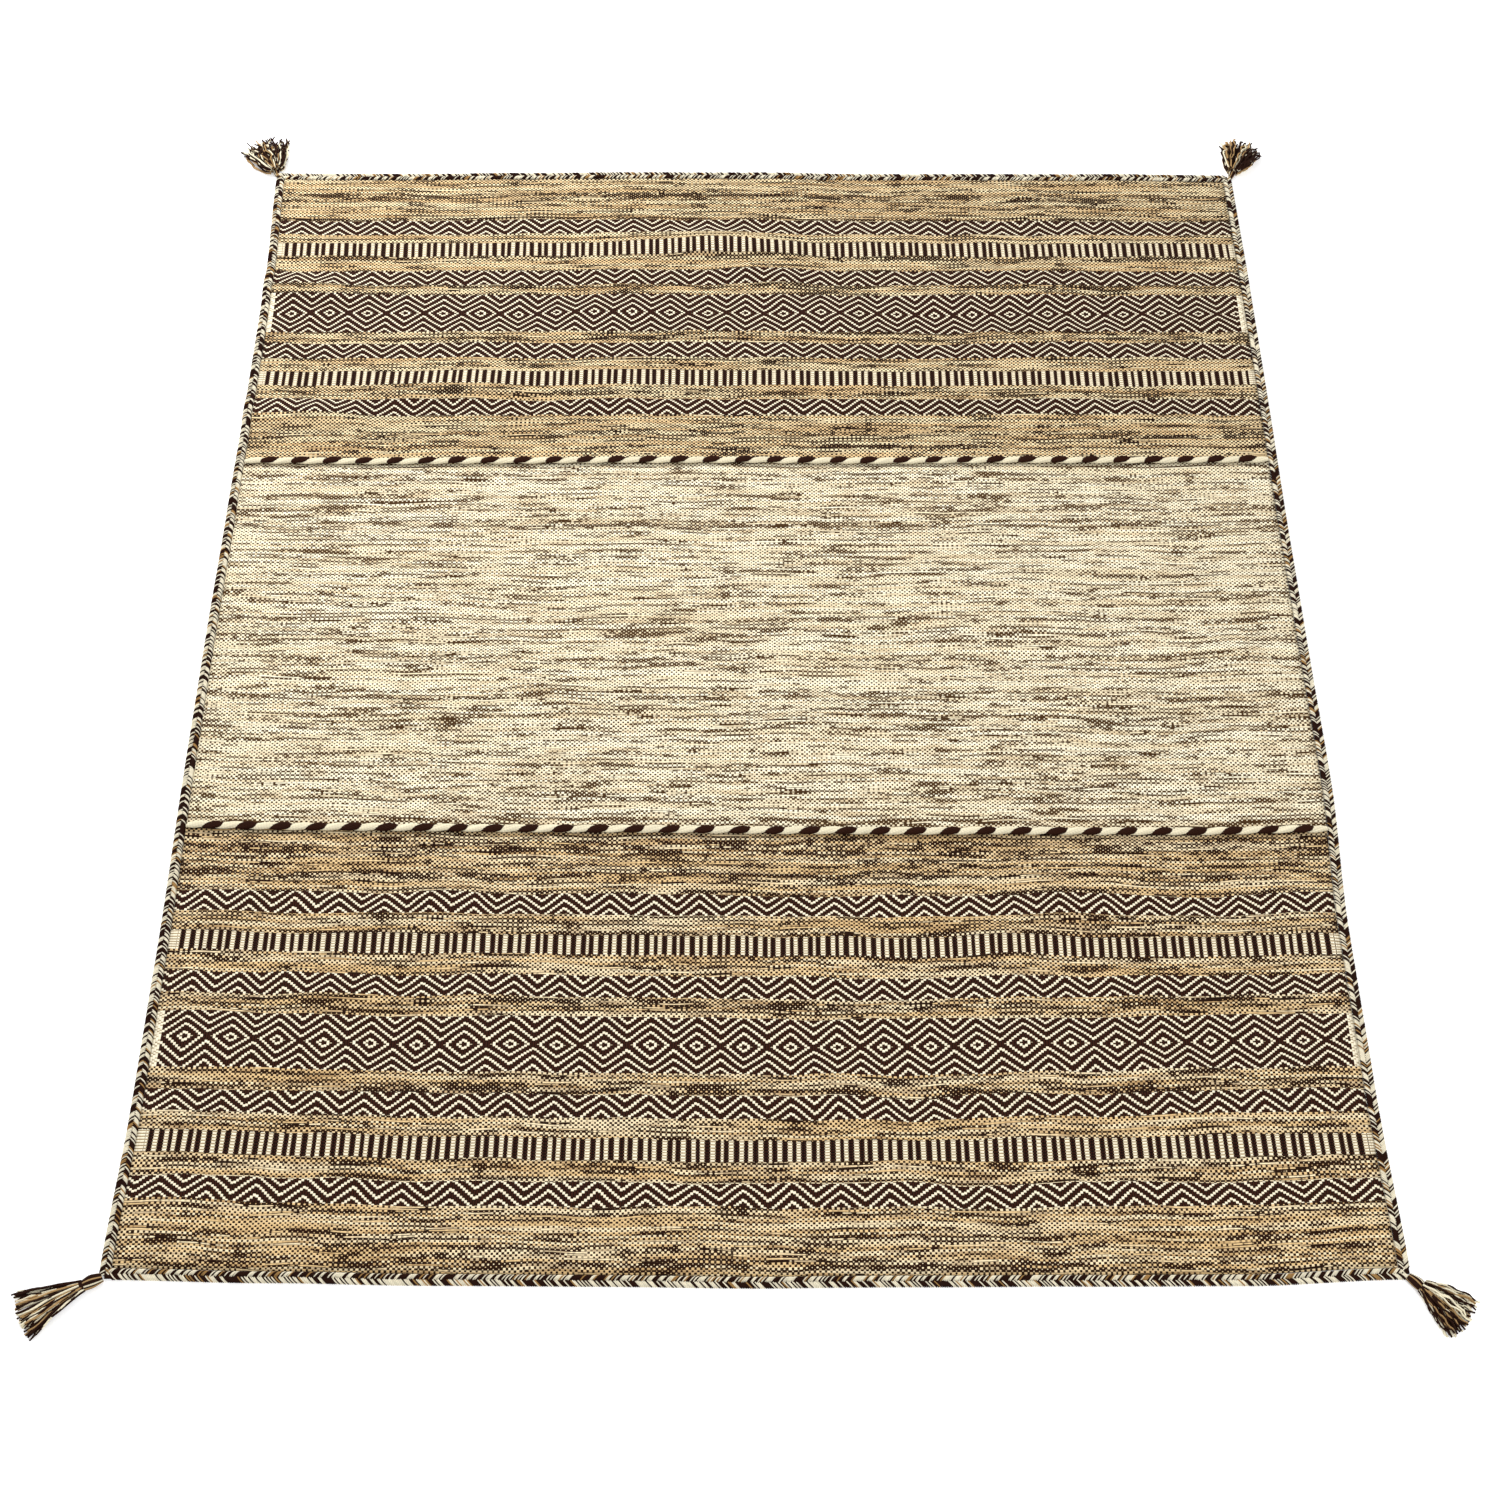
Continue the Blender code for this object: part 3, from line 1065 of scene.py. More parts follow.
class YarnTree:
    """What the geometry trees of the plait, the cords and the tassels share."""

    def __init__(self, name: str, inputs: Sequence[Socket]) -> None:
        """Begins a geometry tree.

        Args:
            name: its name.
            inputs: its inputs after the geometry.
        """
        geometry = Socket("Geometry", "NodeSocketGeometry")
        shared = [Socket(n) for n in ("Yarn Radius", "Map Columns", "Map Rows", "Seed")]
        shared.append(Socket("Material", "NodeSocketMaterial"))
        self.sketch, self.given, self.out = start_group(
            name, "GeometryNodeTree", [geometry, *inputs, *shared], [geometry]
        )
        self.tree = self.sketch.tree

    def store(self, geometry: Signal, name: str, value: object) -> Signal:
        """Stores a number on the geometry's points under a name."""
        values = {"Geometry": geometry, "Name": name, "Value": value}
        return self.sketch.place("GeometryNodeStoreNamedAttribute", values, data_type="FLOAT")

    def recall(self, name: str) -> Signal:
        """Reads a number that was stored under a name."""
        return self.sketch.place("GeometryNodeInputNamedAttribute", {"Name": name}, data_type="FLOAT")

    def index(self) -> Signal:
        """The number of each point."""
        return self.sketch.place("GeometryNodeInputIndex", {})

    def join(self, parts: Iterable[Signal]) -> Signal:
        """Joins several geometries into one."""
        joined = self.sketch.add("GeometryNodeJoinGeometry")
        for part in parts:
            self.sketch.feed(joined.inputs[0], part)
        return Signal(self.sketch, joined.outputs[0])

    def factor(self, output: str = "Factor") -> Signal:
        """How far along its spline each point lies."""
        return self.sketch.place("GeometryNodeSplineParameter", {}, output)

    def spin(self, curve: Signal, width: object = 1.0, height: object = 1.0) -> Signal:
        """Sweeps a yarn's round section along a curve, and stores its lie around and down it."""
        circle = self.sketch.place(
            "GeometryNodeCurvePrimitiveCircle",
            {"Resolution": YARN_SIDES, "Radius": self.given["Yarn Radius"]},
        )
        circle = self.sketch.place(
            "GeometryNodeTransform",
            {"Geometry": circle, "Scale": self.sketch.vector(width, height, 1.0)},
        )
        lie = 1.0 - (self.factor() * 2.0 - 1.0).work("ABSOLUTE")
        circle = self.store(circle, "around", lie)
        curve = self.store(curve, "down", self.factor())
        return self.sketch.place(
            "GeometryNodeCurveToMesh",
            {"Curve": curve, "Profile Curve": circle, "Fill Caps": True},
        )

    def finish(self, geometry: Signal) -> None:
        """Realises the yarns, lays out their map, and gives them their material."""
        sketch = self.sketch
        geometry = sketch.place("GeometryNodeRealizeInstances", {"Geometry": geometry})
        cell = self.recall("cell")
        columns = self.given["Map Columns"]
        column = cell % columns
        row = (cell / columns).work("FLOOR")
        used = 1.0 - 2 * MAP_CELL_MARGIN
        u = (self.recall("around") * used + MAP_CELL_MARGIN + column) / columns
        v = (self.recall("down") * used + MAP_CELL_MARGIN + row) / self.given["Map Rows"]
        geometry = sketch.place(
            "GeometryNodeStoreNamedAttribute",
            {"Geometry": geometry, "Name": BAKE_MAP, "Value": sketch.vector(u, v)},
            data_type="FLOAT2",
            domain="CORNER",
        )
        geometry = sketch.place("GeometryNodeSetShadeSmooth", {"Geometry": geometry})
        geometry = sketch.place(
            "GeometryNodeSetMaterial",
            {"Geometry": geometry, "Material": self.given["Material"]},
        )
        sketch.feed(self.out.inputs[0], geometry)


def grow(
    name: str,
    path: Sequence[Vector],
    tree: bpy.types.NodeTree,
    values: Mapping[str, object],
) -> bpy.types.Object:
    """Runs a geometry tree on a path, and keeps the result as a plain mesh.

    Args:
        name: the new object's name.
        path: the points that the yarns follow.
        tree: the geometry tree.
        values: its inputs, by name.

    Returns:
        The object, with no modifier left.
    """
    line = bpy.data.meshes.new(name + "_path")
    line.from_pydata([tuple(p) for p in path], [(i, i + 1) for i in range(len(path) - 1)], [])
    obj = bpy.data.objects.new(name, line)
    bpy.context.scene.collection.objects.link(obj)
    modifier = obj.modifiers.new("yarns", "NODES")
    modifier.node_group = tree
    keys = {
        item.name: item.identifier
        for item in tree.interface.items_tree
        if item.item_type == "SOCKET" and item.in_out == "INPUT"
    }
    for key, value in values.items():
        modifier[keys[key]] = value
    graph = bpy.context.evaluated_depsgraph_get()
    mesh = bpy.data.meshes.new_from_object(
        obj.evaluated_get(graph), preserve_all_data_layers=True, depsgraph=graph
    )
    obj.modifiers.clear()
    obj.data = mesh
    mesh.name = name
    bpy.data.meshes.remove(line)
    return obj


def map_grid(cells: int) -> tuple[float, float]:
    """The columns and rows of a map that gives each yarn its own cell."""
    columns = math.ceil(math.sqrt(cells))
    return float(columns), float(math.ceil(cells / columns))


@dataclass
class Plait:
    """The plaited edge: arms of yarns that lean in from both sides and meet in a groove.

    Crest is the height that an arm's curve is drawn toward, lean is how far back its outer end lies,
    and tuck is the height of its inner end. The core's width, height and place are counted in yarn
    radii.
    """

    arm_pitch: float = 0.0070
    yarns_in_arm: int = 3
    yarn_radius: float = 0.00088
    half_width: float = 0.0071
    crest: float = 0.0098
    lean: float = 0.0080
    tuck: float = 0.0022
    core_size: tuple[float, float] = (7.4, 2.6)
    core_height: float = 2.9
    arm_rise: float = 0.00045
    yarn_scatter: float = 0.0005
    step: float = 0.006

    def build_tree(self) -> bpy.types.NodeTree:
        """Draws the geometry tree of one side of the plait."""
        tree = YarnTree(
            "plaited_edge",
            [Socket("Yarn Count", WHOLE)]
            + [Socket(n) for n in ("Yarns in Arm", "Yarn Step", "Half Width", "Crest", "Lean")],
        )
        sketch = tree.sketch
        given = tree.given
        path = sketch.place("GeometryNodeMeshToCurve", {"Mesh": given["Geometry"]})
        points = sketch.place("GeometryNodePoints", {"Count": given["Yarn Count"]})
        number = tree.index()
        side = number % 2.0
        rank = (number * 0.5).work("FLOOR")
        arm = (rank / given["Yarns in Arm"]).work("FLOOR")
        arm_pitch = given["Yarn Step"] * given["Yarns in Arm"]
        colour_seed = arm * 2.0 + side + given["Seed"]
        own = sketch.dice(number * 1.37 + given["Seed"])
        swap = sketch.dice(number * 2.11 + given["Seed"] + 0.5).above(0.3)
        tone = sketch.dice(colour_seed * 3.3) * (1.0 - swap) + own * swap
        lot = sketch.dice(number * 0.73 + given["Seed"])
        for name, value in (("cell", number), ("tone", tone), ("lot", lot)):
            points = tree.store(points, name, value)
        length = rank * given["Yarn Step"] + side * arm_pitch * 0.5
        sample = sketch.add("GeometryNodeSampleCurve", mode="LENGTH", use_all_curves=True)
        sketch.feed(sample.inputs["Curves"], path)
        sketch.feed(sample.inputs["Length"], length)
        spot = Signal(sketch, sample.outputs["Position"])
        tangent = Signal(sketch, sample.outputs["Tangent"])
        in_arm = rank % given["Yarns in Arm"]
        crown = 1.0 - (in_arm - (given["Yarns in Arm"] - 1.0) * 0.5).work("ABSOLUTE")
        rise = crown * self.arm_rise + (own - 0.5) * self.yarn_scatter
        spot = sketch.place(
            "ShaderNodeVectorMath", {0: spot, 1: sketch.vector(0.0, 0.0, rise)}, operation="ADD"
        )
        points = sketch.place("GeometryNodeSetPosition", {"Geometry": points, "Position": spot})
        turn = sketch.add("FunctionNodeAxesToRotation")
        turn.primary_axis = "X"
        turn.secondary_axis = "Z"
        sketch.feed(turn.inputs[0], tangent)
        sketch.feed(turn.inputs[1], sketch.vector(0.0, 0.0, 1.0))
        parts = []
        for hand in (1.0, -1.0):
            arm_curve = sketch.place(
                "GeometryNodeCurveQuadraticBezier",
                {
                    "Resolution": 4,
                    "Start": sketch.vector(
                        given["Lean"] * -1.0, given["Half Width"] * hand, given["Yarn Radius"]
                    ),
                    "Middle": sketch.vector(
                        given["Lean"] * -0.55, given["Half Width"] * (0.92 * hand), given["Crest"]
                    ),
                    "End": sketch.vector(
                        given["Lean"] * 0.2, given["Half Width"] * (-0.28 * hand), self.tuck
                    ),
                },
            )
            yarn = tree.spin(arm_curve)
            wanted = side.below(0.5) if hand > 0 else side.above(0.5)
            copies = sketch.place(
                "GeometryNodeInstanceOnPoints",
                {
                    "Points": points,
                    "Selection": wanted,
                    "Instance": yarn,
                    "Rotation": Signal(sketch, turn.outputs[0]),
                },
            )
            parts.append(copies)
        core = sketch.place(
            "GeometryNodeSetPosition",
            {
                "Geometry": path,
                "Offset": sketch.vector(0.0, 0.0, given["Yarn Radius"] * self.core_height),
            },
        )
        core = sketch.place("GeometryNodeSetCurveNormal", {"Curve": core}, mode="Z_UP")
        core = tree.spin(core, *self.core_size)
        for name, value in (("cell", given["Yarn Count"]), ("tone", 0.99), ("lot", 0.8)):
            core = tree.store(core, name, value)
        tree.finish(tree.join([*parts, core]))
        return tree.tree

    def path(self, side: str) -> list[Vector]:
        """The middle line of one side, run clockwise as seen from above."""
        steps = round((PLAN.width if side in ("near", "far") else PLAN.length) / self.step)
        points = []
        for number in range(steps + 1):
            share = 2 * number / steps - 1
            across = {"left": -1.0, "right": 1.0, "near": -share, "far": share}[side]
            along = {"near": -1.0, "far": 1.0, "left": share, "right": -share}[side]
            at = PLAN.point(across, along, PLAN.braid_width / 2)
            at.z = PLAN.lift(at.x, at.y)
            points.append(at)
        return points

    def build(self, side: str, tree: bpy.types.NodeTree, material: bpy.types.Material) -> None:
        """Builds one side of the plait.

        Args:
            side: near, far, left or right.
            tree: the plait's geometry tree.
            material: its finish.
        """
        path = self.path(side)
        length = sum((b - a).length for a, b in zip(path, path[1:]))
        yarn_step = self.arm_pitch / self.yarns_in_arm
        count = 2 * int(length / yarn_step)
        columns, rows = map_grid(count + 1)
        values = {
            "Yarn Count": count,
            "Yarns in Arm": float(self.yarns_in_arm),
            "Yarn Step": yarn_step,
            **measures(self, ("Half Width", "Crest", "Lean", "Yarn Radius")),
            "Map Columns": columns,
            "Map Rows": rows,
            "Seed": 11.0 * (1 + ["near", "far", "left", "right"].index(side)),
            "Material": material,
        }
        obj = grow(f"plait_{side}", path, tree, values)
        finish_piece(obj, [f"braid_{side}"])


@dataclass
class TwinedCord:
    """A cord of two strands, brown and cream, that twist round each other on the cloth.

    Spread is how far a strand's yarns stand from its middle where it lies on top, slim is the share
    of that which is left where it lies underneath, and flatness presses the whole cord down. The
    cream strand has a slim and a fullness of its own, and the brown one is lifted where it lies on
    top. The yarn's size is its width and height in yarn radii.
    """

    twist_pitch: float = 0.0515
    yarns_in_strand: int = 12
    yarn_radius: float = 0.00115
    strand_radius: float = 0.0013
    spread: float = 0.0050
    flatness: float = 0.50
    slim: float = 0.05
    cream_slim: float = 0.78
    cream_fullness: float = 0.86
    brown_lift: float = 0.0014
    side_shift: float = 0.0004
    own_twist: float = -2.1
    unevenness: float = 0.16
    yarn_size: tuple[float, float] = (1.3, 0.9)
    sink: float = 0.0002
    step: float = 0.0050
    end_gap: float = 0.0175

    own_measures = (
        "Twist Pitch",
        "Strand Radius",
        "Spread",
        "Flatness",
        "Slim",
        "Cream Slim",
        "Brown Lift",
        "Cream Fullness",
    )

    def build_tree(self) -> bpy.types.NodeTree:
        """Draws the geometry tree of a twined cord."""
        numbers = [Socket(name) for name in (*self.own_measures, "Side Shift")]
        tree = YarnTree("twined_cord", [Socket("Yarns in Strand", WHOLE), *numbers])
        sketch = tree.sketch
        given = tree.given
        path = sketch.place("GeometryNodeMeshToCurve", {"Mesh": given["Geometry"]})
        copies = sketch.add("GeometryNodeDuplicateElements", domain="SPLINE")
        sketch.feed(copies.inputs["Geometry"], path)
        sketch.feed(copies.inputs["Amount"], given["Yarns in Strand"] * 2.0)
        curves, number = [Signal(sketch, copies.outputs[n]) for n in (0, 1)]
        curves = tree.store(curves, "cell", number)
        cell = tree.recall("cell")
        strand = cell % 2.0
        yarn = (cell * 0.5).work("FLOOR")
        run = tree.factor("Length")
        uneven = sketch.cloud(sketch.vector(run * 14.0, strand * 3.0 + given["Seed"]), 1.0) - 0.5
        twist = run / given["Twist Pitch"] + uneven * self.unevenness
        turn = twist * -FULL_TURN + strand * math.pi
        own_pitch = given["Twist Pitch"] * self.own_twist
        own_turn = yarn / given["Yarns in Strand"] + run / own_pitch
        own_turn = own_turn * FULL_TURN
        top = turn.work("SINE") * 0.5 + 0.5
        slim = given["Slim"] + strand * (given["Cream Slim"] - given["Slim"])
        swell = slim + top * (1.0 - slim) + uneven * 0.2
        fullness = strand * (given["Cream Fullness"] - 1.0) + 1.0
        spread = given["Spread"] * swell * fullness
        sideways = turn.work("COSINE") * given["Strand Radius"] + own_turn.work("COSINE") * spread
        sideways = sideways + (strand * 2.0 - 1.0) * given["Side Shift"]
        upwards = turn.work("SINE") * given["Strand Radius"] + own_turn.work("SINE") * spread
        end = (tree.factor() * 2.0 - 1.0).work("ABSOLUTE").ramp(0.985, 1.0)
        tight = 1.0 - end * 0.45
        upwards = upwards * given["Flatness"] + (1.0 - strand) * top * given["Brown Lift"]
        offset = sketch.vector(0.0, sideways * tight, upwards * tight)
        curves = sketch.place("GeometryNodeSetPosition", {"Geometry": curves, "Offset": offset})
        own_tone = sketch.dice(cell * 7.1 + given["Seed"])
        curves = tree.store(curves, "tone", strand * 0.6 + own_tone * 0.35)
        curves = tree.store(curves, "lot", sketch.dice(cell * 3.9 + given["Seed"]))
        curves = sketch.place("GeometryNodeSetCurveNormal", {"Curve": curves}, mode="Z_UP")
        tree.finish(tree.spin(curves, *self.yarn_size))
        return tree.tree

    def build(
        self,
        name: str,
        solid: str,
        line: TwineLine,
        tree: bpy.types.NodeTree,
        material: bpy.types.Material,
    ) -> None:
        """Builds one cord.

        Args:
            name: its name.
            solid: the solid that it stands for.
            line: where it crosses the rug.
            tree: the cord's geometry tree.
            material: its finish.
        """
        left = PLAN.point(-1, line.share, self.end_gap).x
        right = PLAN.point(1, line.share, self.end_gap).x
        steps = round((right - left) / self.step)
        tall = (self.strand_radius + self.spread) * self.flatness + self.yarn_radius
        path = []
        for number in range(steps + 1):
            x = mix(left, right, number / steps)
            y = line.y(x)
            path.append(Vector((x, y, PLAN.lift(x, y) + PLAN.thickness + tall - self.sink)))
        toward_field = 1.0 if line.share < 0 else -1.0
        yarns = 2 * self.yarns_in_strand
        values = {
            **measures(self, (*self.own_measures, "Yarns in Strand", "Yarn Radius")),
            "Side Shift": self.side_shift * toward_field,
            "Map Columns": float(yarns),
            "Map Rows": 1.0,
            "Seed": 2.0 + line.share,
            "Material": material,
        }
        obj = grow(name, path, tree, values)
        finish_piece(obj, [solid])


@dataclass(frozen=True)
class TasselLie:
    """How one tassel lies: its corner, its heading in degrees, its length and its fan.

    Bush is 0 for a skirt that hangs straight and 1 for one that is teased out from the neck on.
    """

    name: str
    side: int
    end: int
    heading: float
    length: float
    fan: float
    stray: float
    bush: float
    seed: float


@dataclass
class Tassel:
    """A corner tassel: yarns gathered in a head, bound at the neck, and loose in the skirt.

    The skirt starts at neck reach from the root. Puff is how far its middle is raised, sway is how
    far its locks wave sideways, and curl is how far its yarns do. Heights and widths are for a skirt
    that hangs straight, and the bush values are added to or taken from them on a bushy one. The
    head's core is counted in yarn radii.
    """

    lies: tuple[TasselLie, ...] = (
        TasselLie("tassel_near_left", -1, -1, 207, 0.115, 18, 1.2, 0.0, 5),
        TasselLie("tassel_near_right", 1, -1, -43, 0.094, 24, 1.6, 0.35, 7),
        TasselLie("tassel_far_left", -1, 1, 113, 0.102, 27, 1.8, 1.0, 9),
        TasselLie("tassel_far_right", 1, 1, 68, 0.098, 23, 1.8, 0.9, 13),
    )
    skirt_yarns: int = 150
    yarns_in_lock: float = 2.0
    head_yarns: int = 22
    yarn_radius: float = 0.00130
    neck_reach: float = 0.0250
    neck_half_width: float = 0.0062
    neck_height: float = 0.0092
    lowest_root: float = 0.0014
    tip_height: float = 0.0064
    puff: float = 0.0042
    sway: float = 0.0120
    curl: float = 0.0011
    bush_swell: float = 0.0040
    bush_start: float = 0.0140
    bush_curl: float = 0.0018
    head_length: float = 0.0320
    head_widths: tuple[float, ...] = (0.62, 0.80, 0.92, 0.86, 0.74, 0.74)
    head_heights: tuple[float, ...] = (0.46, 0.62, 0.70, 0.64, 0.56, 0.56)
    head_turn: float = 0.09
    head_core: tuple[float, float] = (3.4, 2.7)
    binding_radius: float = 0.0062
    binding_width: float = 0.0046
    binding_turns: float = 3.0
    binding_yarn: float = 0.75
    binding_place: tuple[float, float, float] = (0.0246, 0.0, 0.0065)
    root_depth: float = 0.0060

    def build_tree(self) -> bpy.types.NodeTree:
        """Draws the geometry tree of a tassel, made along +X and then laid at its corner."""
        tree = YarnTree(
            "corner_tassel",
            [Socket("Corner", "NodeSocketVector")]
            + [Socket(n) for n in ("Heading", "Length", "Fan", "Stray", "Bush")]
            + [Socket(n, WHOLE) for n in ("Skirt Yarns", "Head Yarns")],
        )
        sketch = tree.sketch
        given = tree.given
        whole = tree.join([self.draw_skirt(tree), self.draw_head(tree), self.draw_binding(tree)])
        laid = sketch.place(
            "GeometryNodeTransform",
            {
                "Geometry": whole,
                "Translation": given["Corner"],
                "Rotation": sketch.place(
                    "FunctionNodeEulerToRotation", {0: sketch.vector(0.0, 0.0, given["Heading"])}
                ),
            },
        )
        tree.finish(laid)
        return tree.tree

    def strands(self, tree: YarnTree, count: object, steps: int, first_cell: object) -> Signal:
        """Straight strands from 0 to 1 on the x axis, one for each cell, with their dice."""
        sketch = tree.sketch
        points = sketch.place("GeometryNodePoints", {"Count": count})
        cell = tree.index() + first_cell
        points = tree.store(points, "cell", cell)
        points = tree.store(points, "tone", self.dye_lot(tree, cell))
        points = tree.store(points, "lot", sketch.dice(cell * 0.93 + tree.given["Seed"]))
        line = sketch.place(
            "GeometryNodeCurvePrimitiveLine", {"Start": (0, 0, 0), "End": (1, 0, 0)}
        )
        line = sketch.place("GeometryNodeResampleCurve", {"Curve": line, "Count": steps})
        copies = sketch.place("GeometryNodeInstanceOnPoints", {"Points": points, "Instance": line})
        return sketch.place("GeometryNodeRealizeInstances", {"Geometry": copies})

    def dye_lot(self, tree: YarnTree, cell: Signal) -> Signal:
        """The tone of a strand: most of them take their lock's, and a bushy tassel is darker."""
        sketch = tree.sketch
        lock = (cell / self.yarns_in_lock).work("FLOOR")
        own = sketch.dice(cell * 1.71 + tree.given["Seed"])
        stray = sketch.dice(cell * 2.37 + tree.given["Seed"]).above(0.70)
        shared = sketch.dice(lock * 3.19 + tree.given["Seed"])
        return shared + (own - shared) * stray + tree.given["Bush"] * 0.14

    def draw_skirt(self, tree: YarnTree) -> Signal:
        """Draws the loose yarns, which fan out from the neck and come to rest on the floor."""
        sketch = tree.sketch
        given = tree.given
        curves = self.strands(tree, given["Skirt Yarns"], 13, 0.0)
        cell = tree.recall("cell")
        t = tree.factor()

        lock = (cell / self.yarns_in_lock).work("FLOOR")

        def throw(number: float) -> Signal:
            """A throw of this strand's dice."""
            return sketch.dice(cell * 5.3 + given["Seed"] + number)

        def lock_throw(number: float) -> Signal:
            """A throw of the dice that its lock shares."""
            return sketch.dice(lock * 3.7 + given["Seed"] + number)

        bush = given["Bush"]
        share = (cell + throw(1.0) * 1.5) / given["Skirt Yarns"] * 2.0 - 1.0
        layer = (lock_throw(2.0) + (throw(2.0) - 0.5) * 0.3).work("MAXIMUM", 0.0)
        layer = layer.work("MINIMUM", 1.0)
        fan = (share + (lock_throw(3.0) - 0.5) * 0.22) * given["Fan"]
        cut = 0.17 + bush * (0.20 - share * 0.16)
        start = self.neck_reach - bush * self.bush_start
        reach = (given["Length"] - start) * (1.0 - throw(4.0) * cut)
        reach = reach * (1.0 - share * share * bush * 0.2)
        sway = (lock_throw(5.0) - 0.5) * given["Stray"] * self.sway
        start_wave = lock_throw(7.0) * FULL_TURN
        waves = (t * (lock_throw(6.0) * 7.0 + 3.5) + start_wave).work("SINE")
        waves = waves - start_wave.work("SINE")
        start_curl = lock_throw(9.0) * FULL_TURN
        curl = (t * (lock_throw(8.0) * 8.0 + 12.0) + start_curl).work("SINE")
        curl = curl * (bush * self.bush_curl + self.curl)
        opening = t.work("POWER", 1.12 - bush * 0.56)
        x = t * reach * fan.work("COSINE") + start
        swell = bush * self.bush_swell
        y = share * (swell + self.neck_half_width) + opening * reach * fan.work("SINE")
        y = y + (waves * sway * 0.5 + curl) * t
        ease = t.ramp(0.0, 0.75)
        root = layer * (swell + self.neck_height) + self.lowest_root
        tip = layer * layer * self.tip_height + given["Yarn Radius"]
        puff = (t * math.pi).work("SINE") * layer * (swell + self.puff)
        z = root * (1.0 - ease) + tip * ease + puff + curl * 0.5
        z = z.work("MAXIMUM", given["Yarn Radius"])
        spot = sketch.vector(x, y, z)
        curves = sketch.place("GeometryNodeSetPosition", {"Geometry": curves, "Position": spot})
        return tree.spin(curves)

    def head_profile(self, tree: YarnTree, t: Signal) -> tuple[Signal, Signal]:
        """The head's half width and half height at a share of its length.

        The curves hold centimetres, because their points lie between 0 and 1.
        """
        sizes = []
        for rings in (self.head_widths, self.head_heights):
            node = tree.sketch.add("ShaderNodeFloatCurve")
            curve = node.mapping.curves[0]
            curve.points[0].location = (0.0, rings[0])
            curve.points[-1].location = (1.0, rings[-1])
            for number, ring in enumerate(rings[1:-1], 1):
                curve.points.new(number / (len(rings) - 1), ring)
            node.mapping.update()
            tree.sketch.feed(node.inputs["Value"], t)
            slack = 1.0 - tree.given["Bush"] * 0.35
            sizes.append(Signal(tree.sketch, node.outputs[0]) * slack * 0.01)
        return sizes[0], sizes[1]

    def draw_head(self, tree: YarnTree) -> Signal:
        """Draws the gathered yarns of the head, over a solid core."""
        sketch = tree.sketch
        given = tree.given
        first, count = given["Skirt Yarns"], given["Head Yarns"]
        curves = self.strands(tree, count, 10, first)
        own = (tree.recall("cell") * 0.382) % 1.0
        curves = tree.store(curves, "tone", own * 0.66 + 0.28)
        cell = tree.recall("cell") - first
        t = tree.factor()
        wide, tall = self.head_profile(tree, t)
        turn = (cell / count + t * self.head_turn) * FULL_TURN
        ring = given["Yarn Radius"]
        y = turn.work("COSINE") * (wide - ring)
        z = turn.work("SINE") * (tall - ring) + tall
        spot = sketch.vector(t * self.head_length, y, z)
        curves = sketch.place("GeometryNodeSetPosition", {"Geometry": curves, "Position": spot})
        yarns = tree.spin(curves)
        core = self.strands(tree, 1, 10, first + count)
        middle = self.head_profile(tree, tree.factor())[1]
        spot = sketch.vector(tree.factor() * self.head_length, 0.0, middle)
        core = sketch.place("GeometryNodeSetPosition", {"Geometry": core, "Position": spot})
        core = sketch.place("GeometryNodeSetCurveNormal", {"Curve": core}, mode="Z_UP")
        return tree.join([yarns, tree.spin(core, *self.head_core)])

    def draw_binding(self, tree: YarnTree) -> Signal:
        """Draws the yarn that is wound round the neck."""
        sketch = tree.sketch
        wound = sketch.place(
            "GeometryNodeCurveSpiral",
            {
                "Resolution": 16,
                "Rotations": self.binding_turns,
                "Start Radius": self.binding_radius,
                "End Radius": self.binding_radius,
                "Height": self.binding_width,
            },
        )
        wound = sketch.place(
            "GeometryNodeTransform",
            {
                "Geometry": wound,
                "Translation": self.binding_place,
                "Rotation": (0.0, math.radians(90), 0.0),
                "Scale": (0.88, 1.16, 0.90),
            },
        )
        own_cell = tree.given["Skirt Yarns"] + tree.given["Head Yarns"] + 1.0
        for name, value in (("cell", own_cell), ("tone", 0.9), ("lot", 0.3)):
            wound = tree.store(wound, name, value)
        return tree.spin(wound, self.binding_yarn, self.binding_yarn)

    def build(
        self, lie: TasselLie, tree: bpy.types.NodeTree, material: bpy.types.Material
    ) -> None:
        """Builds one tassel.

        Args:
            lie: how it lies.
            tree: the tassel's geometry tree.
            material: its finish.
        """
        corner = PLAN.point(lie.side, lie.end, 0)
        heading = math.radians(lie.heading)
        corner -= self.root_depth * Vector((math.cos(heading), math.sin(heading), 0))
        columns, rows = map_grid(self.skirt_yarns + self.head_yarns + 2)
        values = {
            "Corner": corner,
            "Heading": heading,
            "Fan": math.radians(lie.fan),
            **measures(lie, ("Length", "Stray", "Bush", "Seed")),
            **measures(self, ("Skirt Yarns", "Head Yarns", "Yarn Radius")),
            "Map Columns": columns,
            "Map Rows": rows,
            "Material": material,
        }
        path = [corner, corner + Vector((0.01, 0, 0))]
        obj = grow("yarns_of_" + lie.name, path, tree, values)
        finish_piece(obj, [lie.name])


# Studio


@dataclass(frozen=True)
class SoftLight:
    """One broad studio lamp, aimed at the rug."""

    name: str
    place: tuple[float, float, float]
    size: float
    power: float
    colour: tuple[float, float, float] = (1.0, 1.0, 1.0)

    def build(self) -> None:
        """Hangs the lamp and turns it to the rug."""
        lamp = bpy.data.lights.new(self.name, "AREA")
        lamp.shape = "DISK"
        lamp.size = self.size
        lamp.energy = self.power
        lamp.color = self.colour
        obj = bpy.data.objects.new(self.name, lamp)
        obj.location = self.place
        obj.rotation_euler = (-Vector(self.place)).to_track_quat("-Z", "Y").to_euler()
        bpy.context.scene.collection.objects.link(obj)


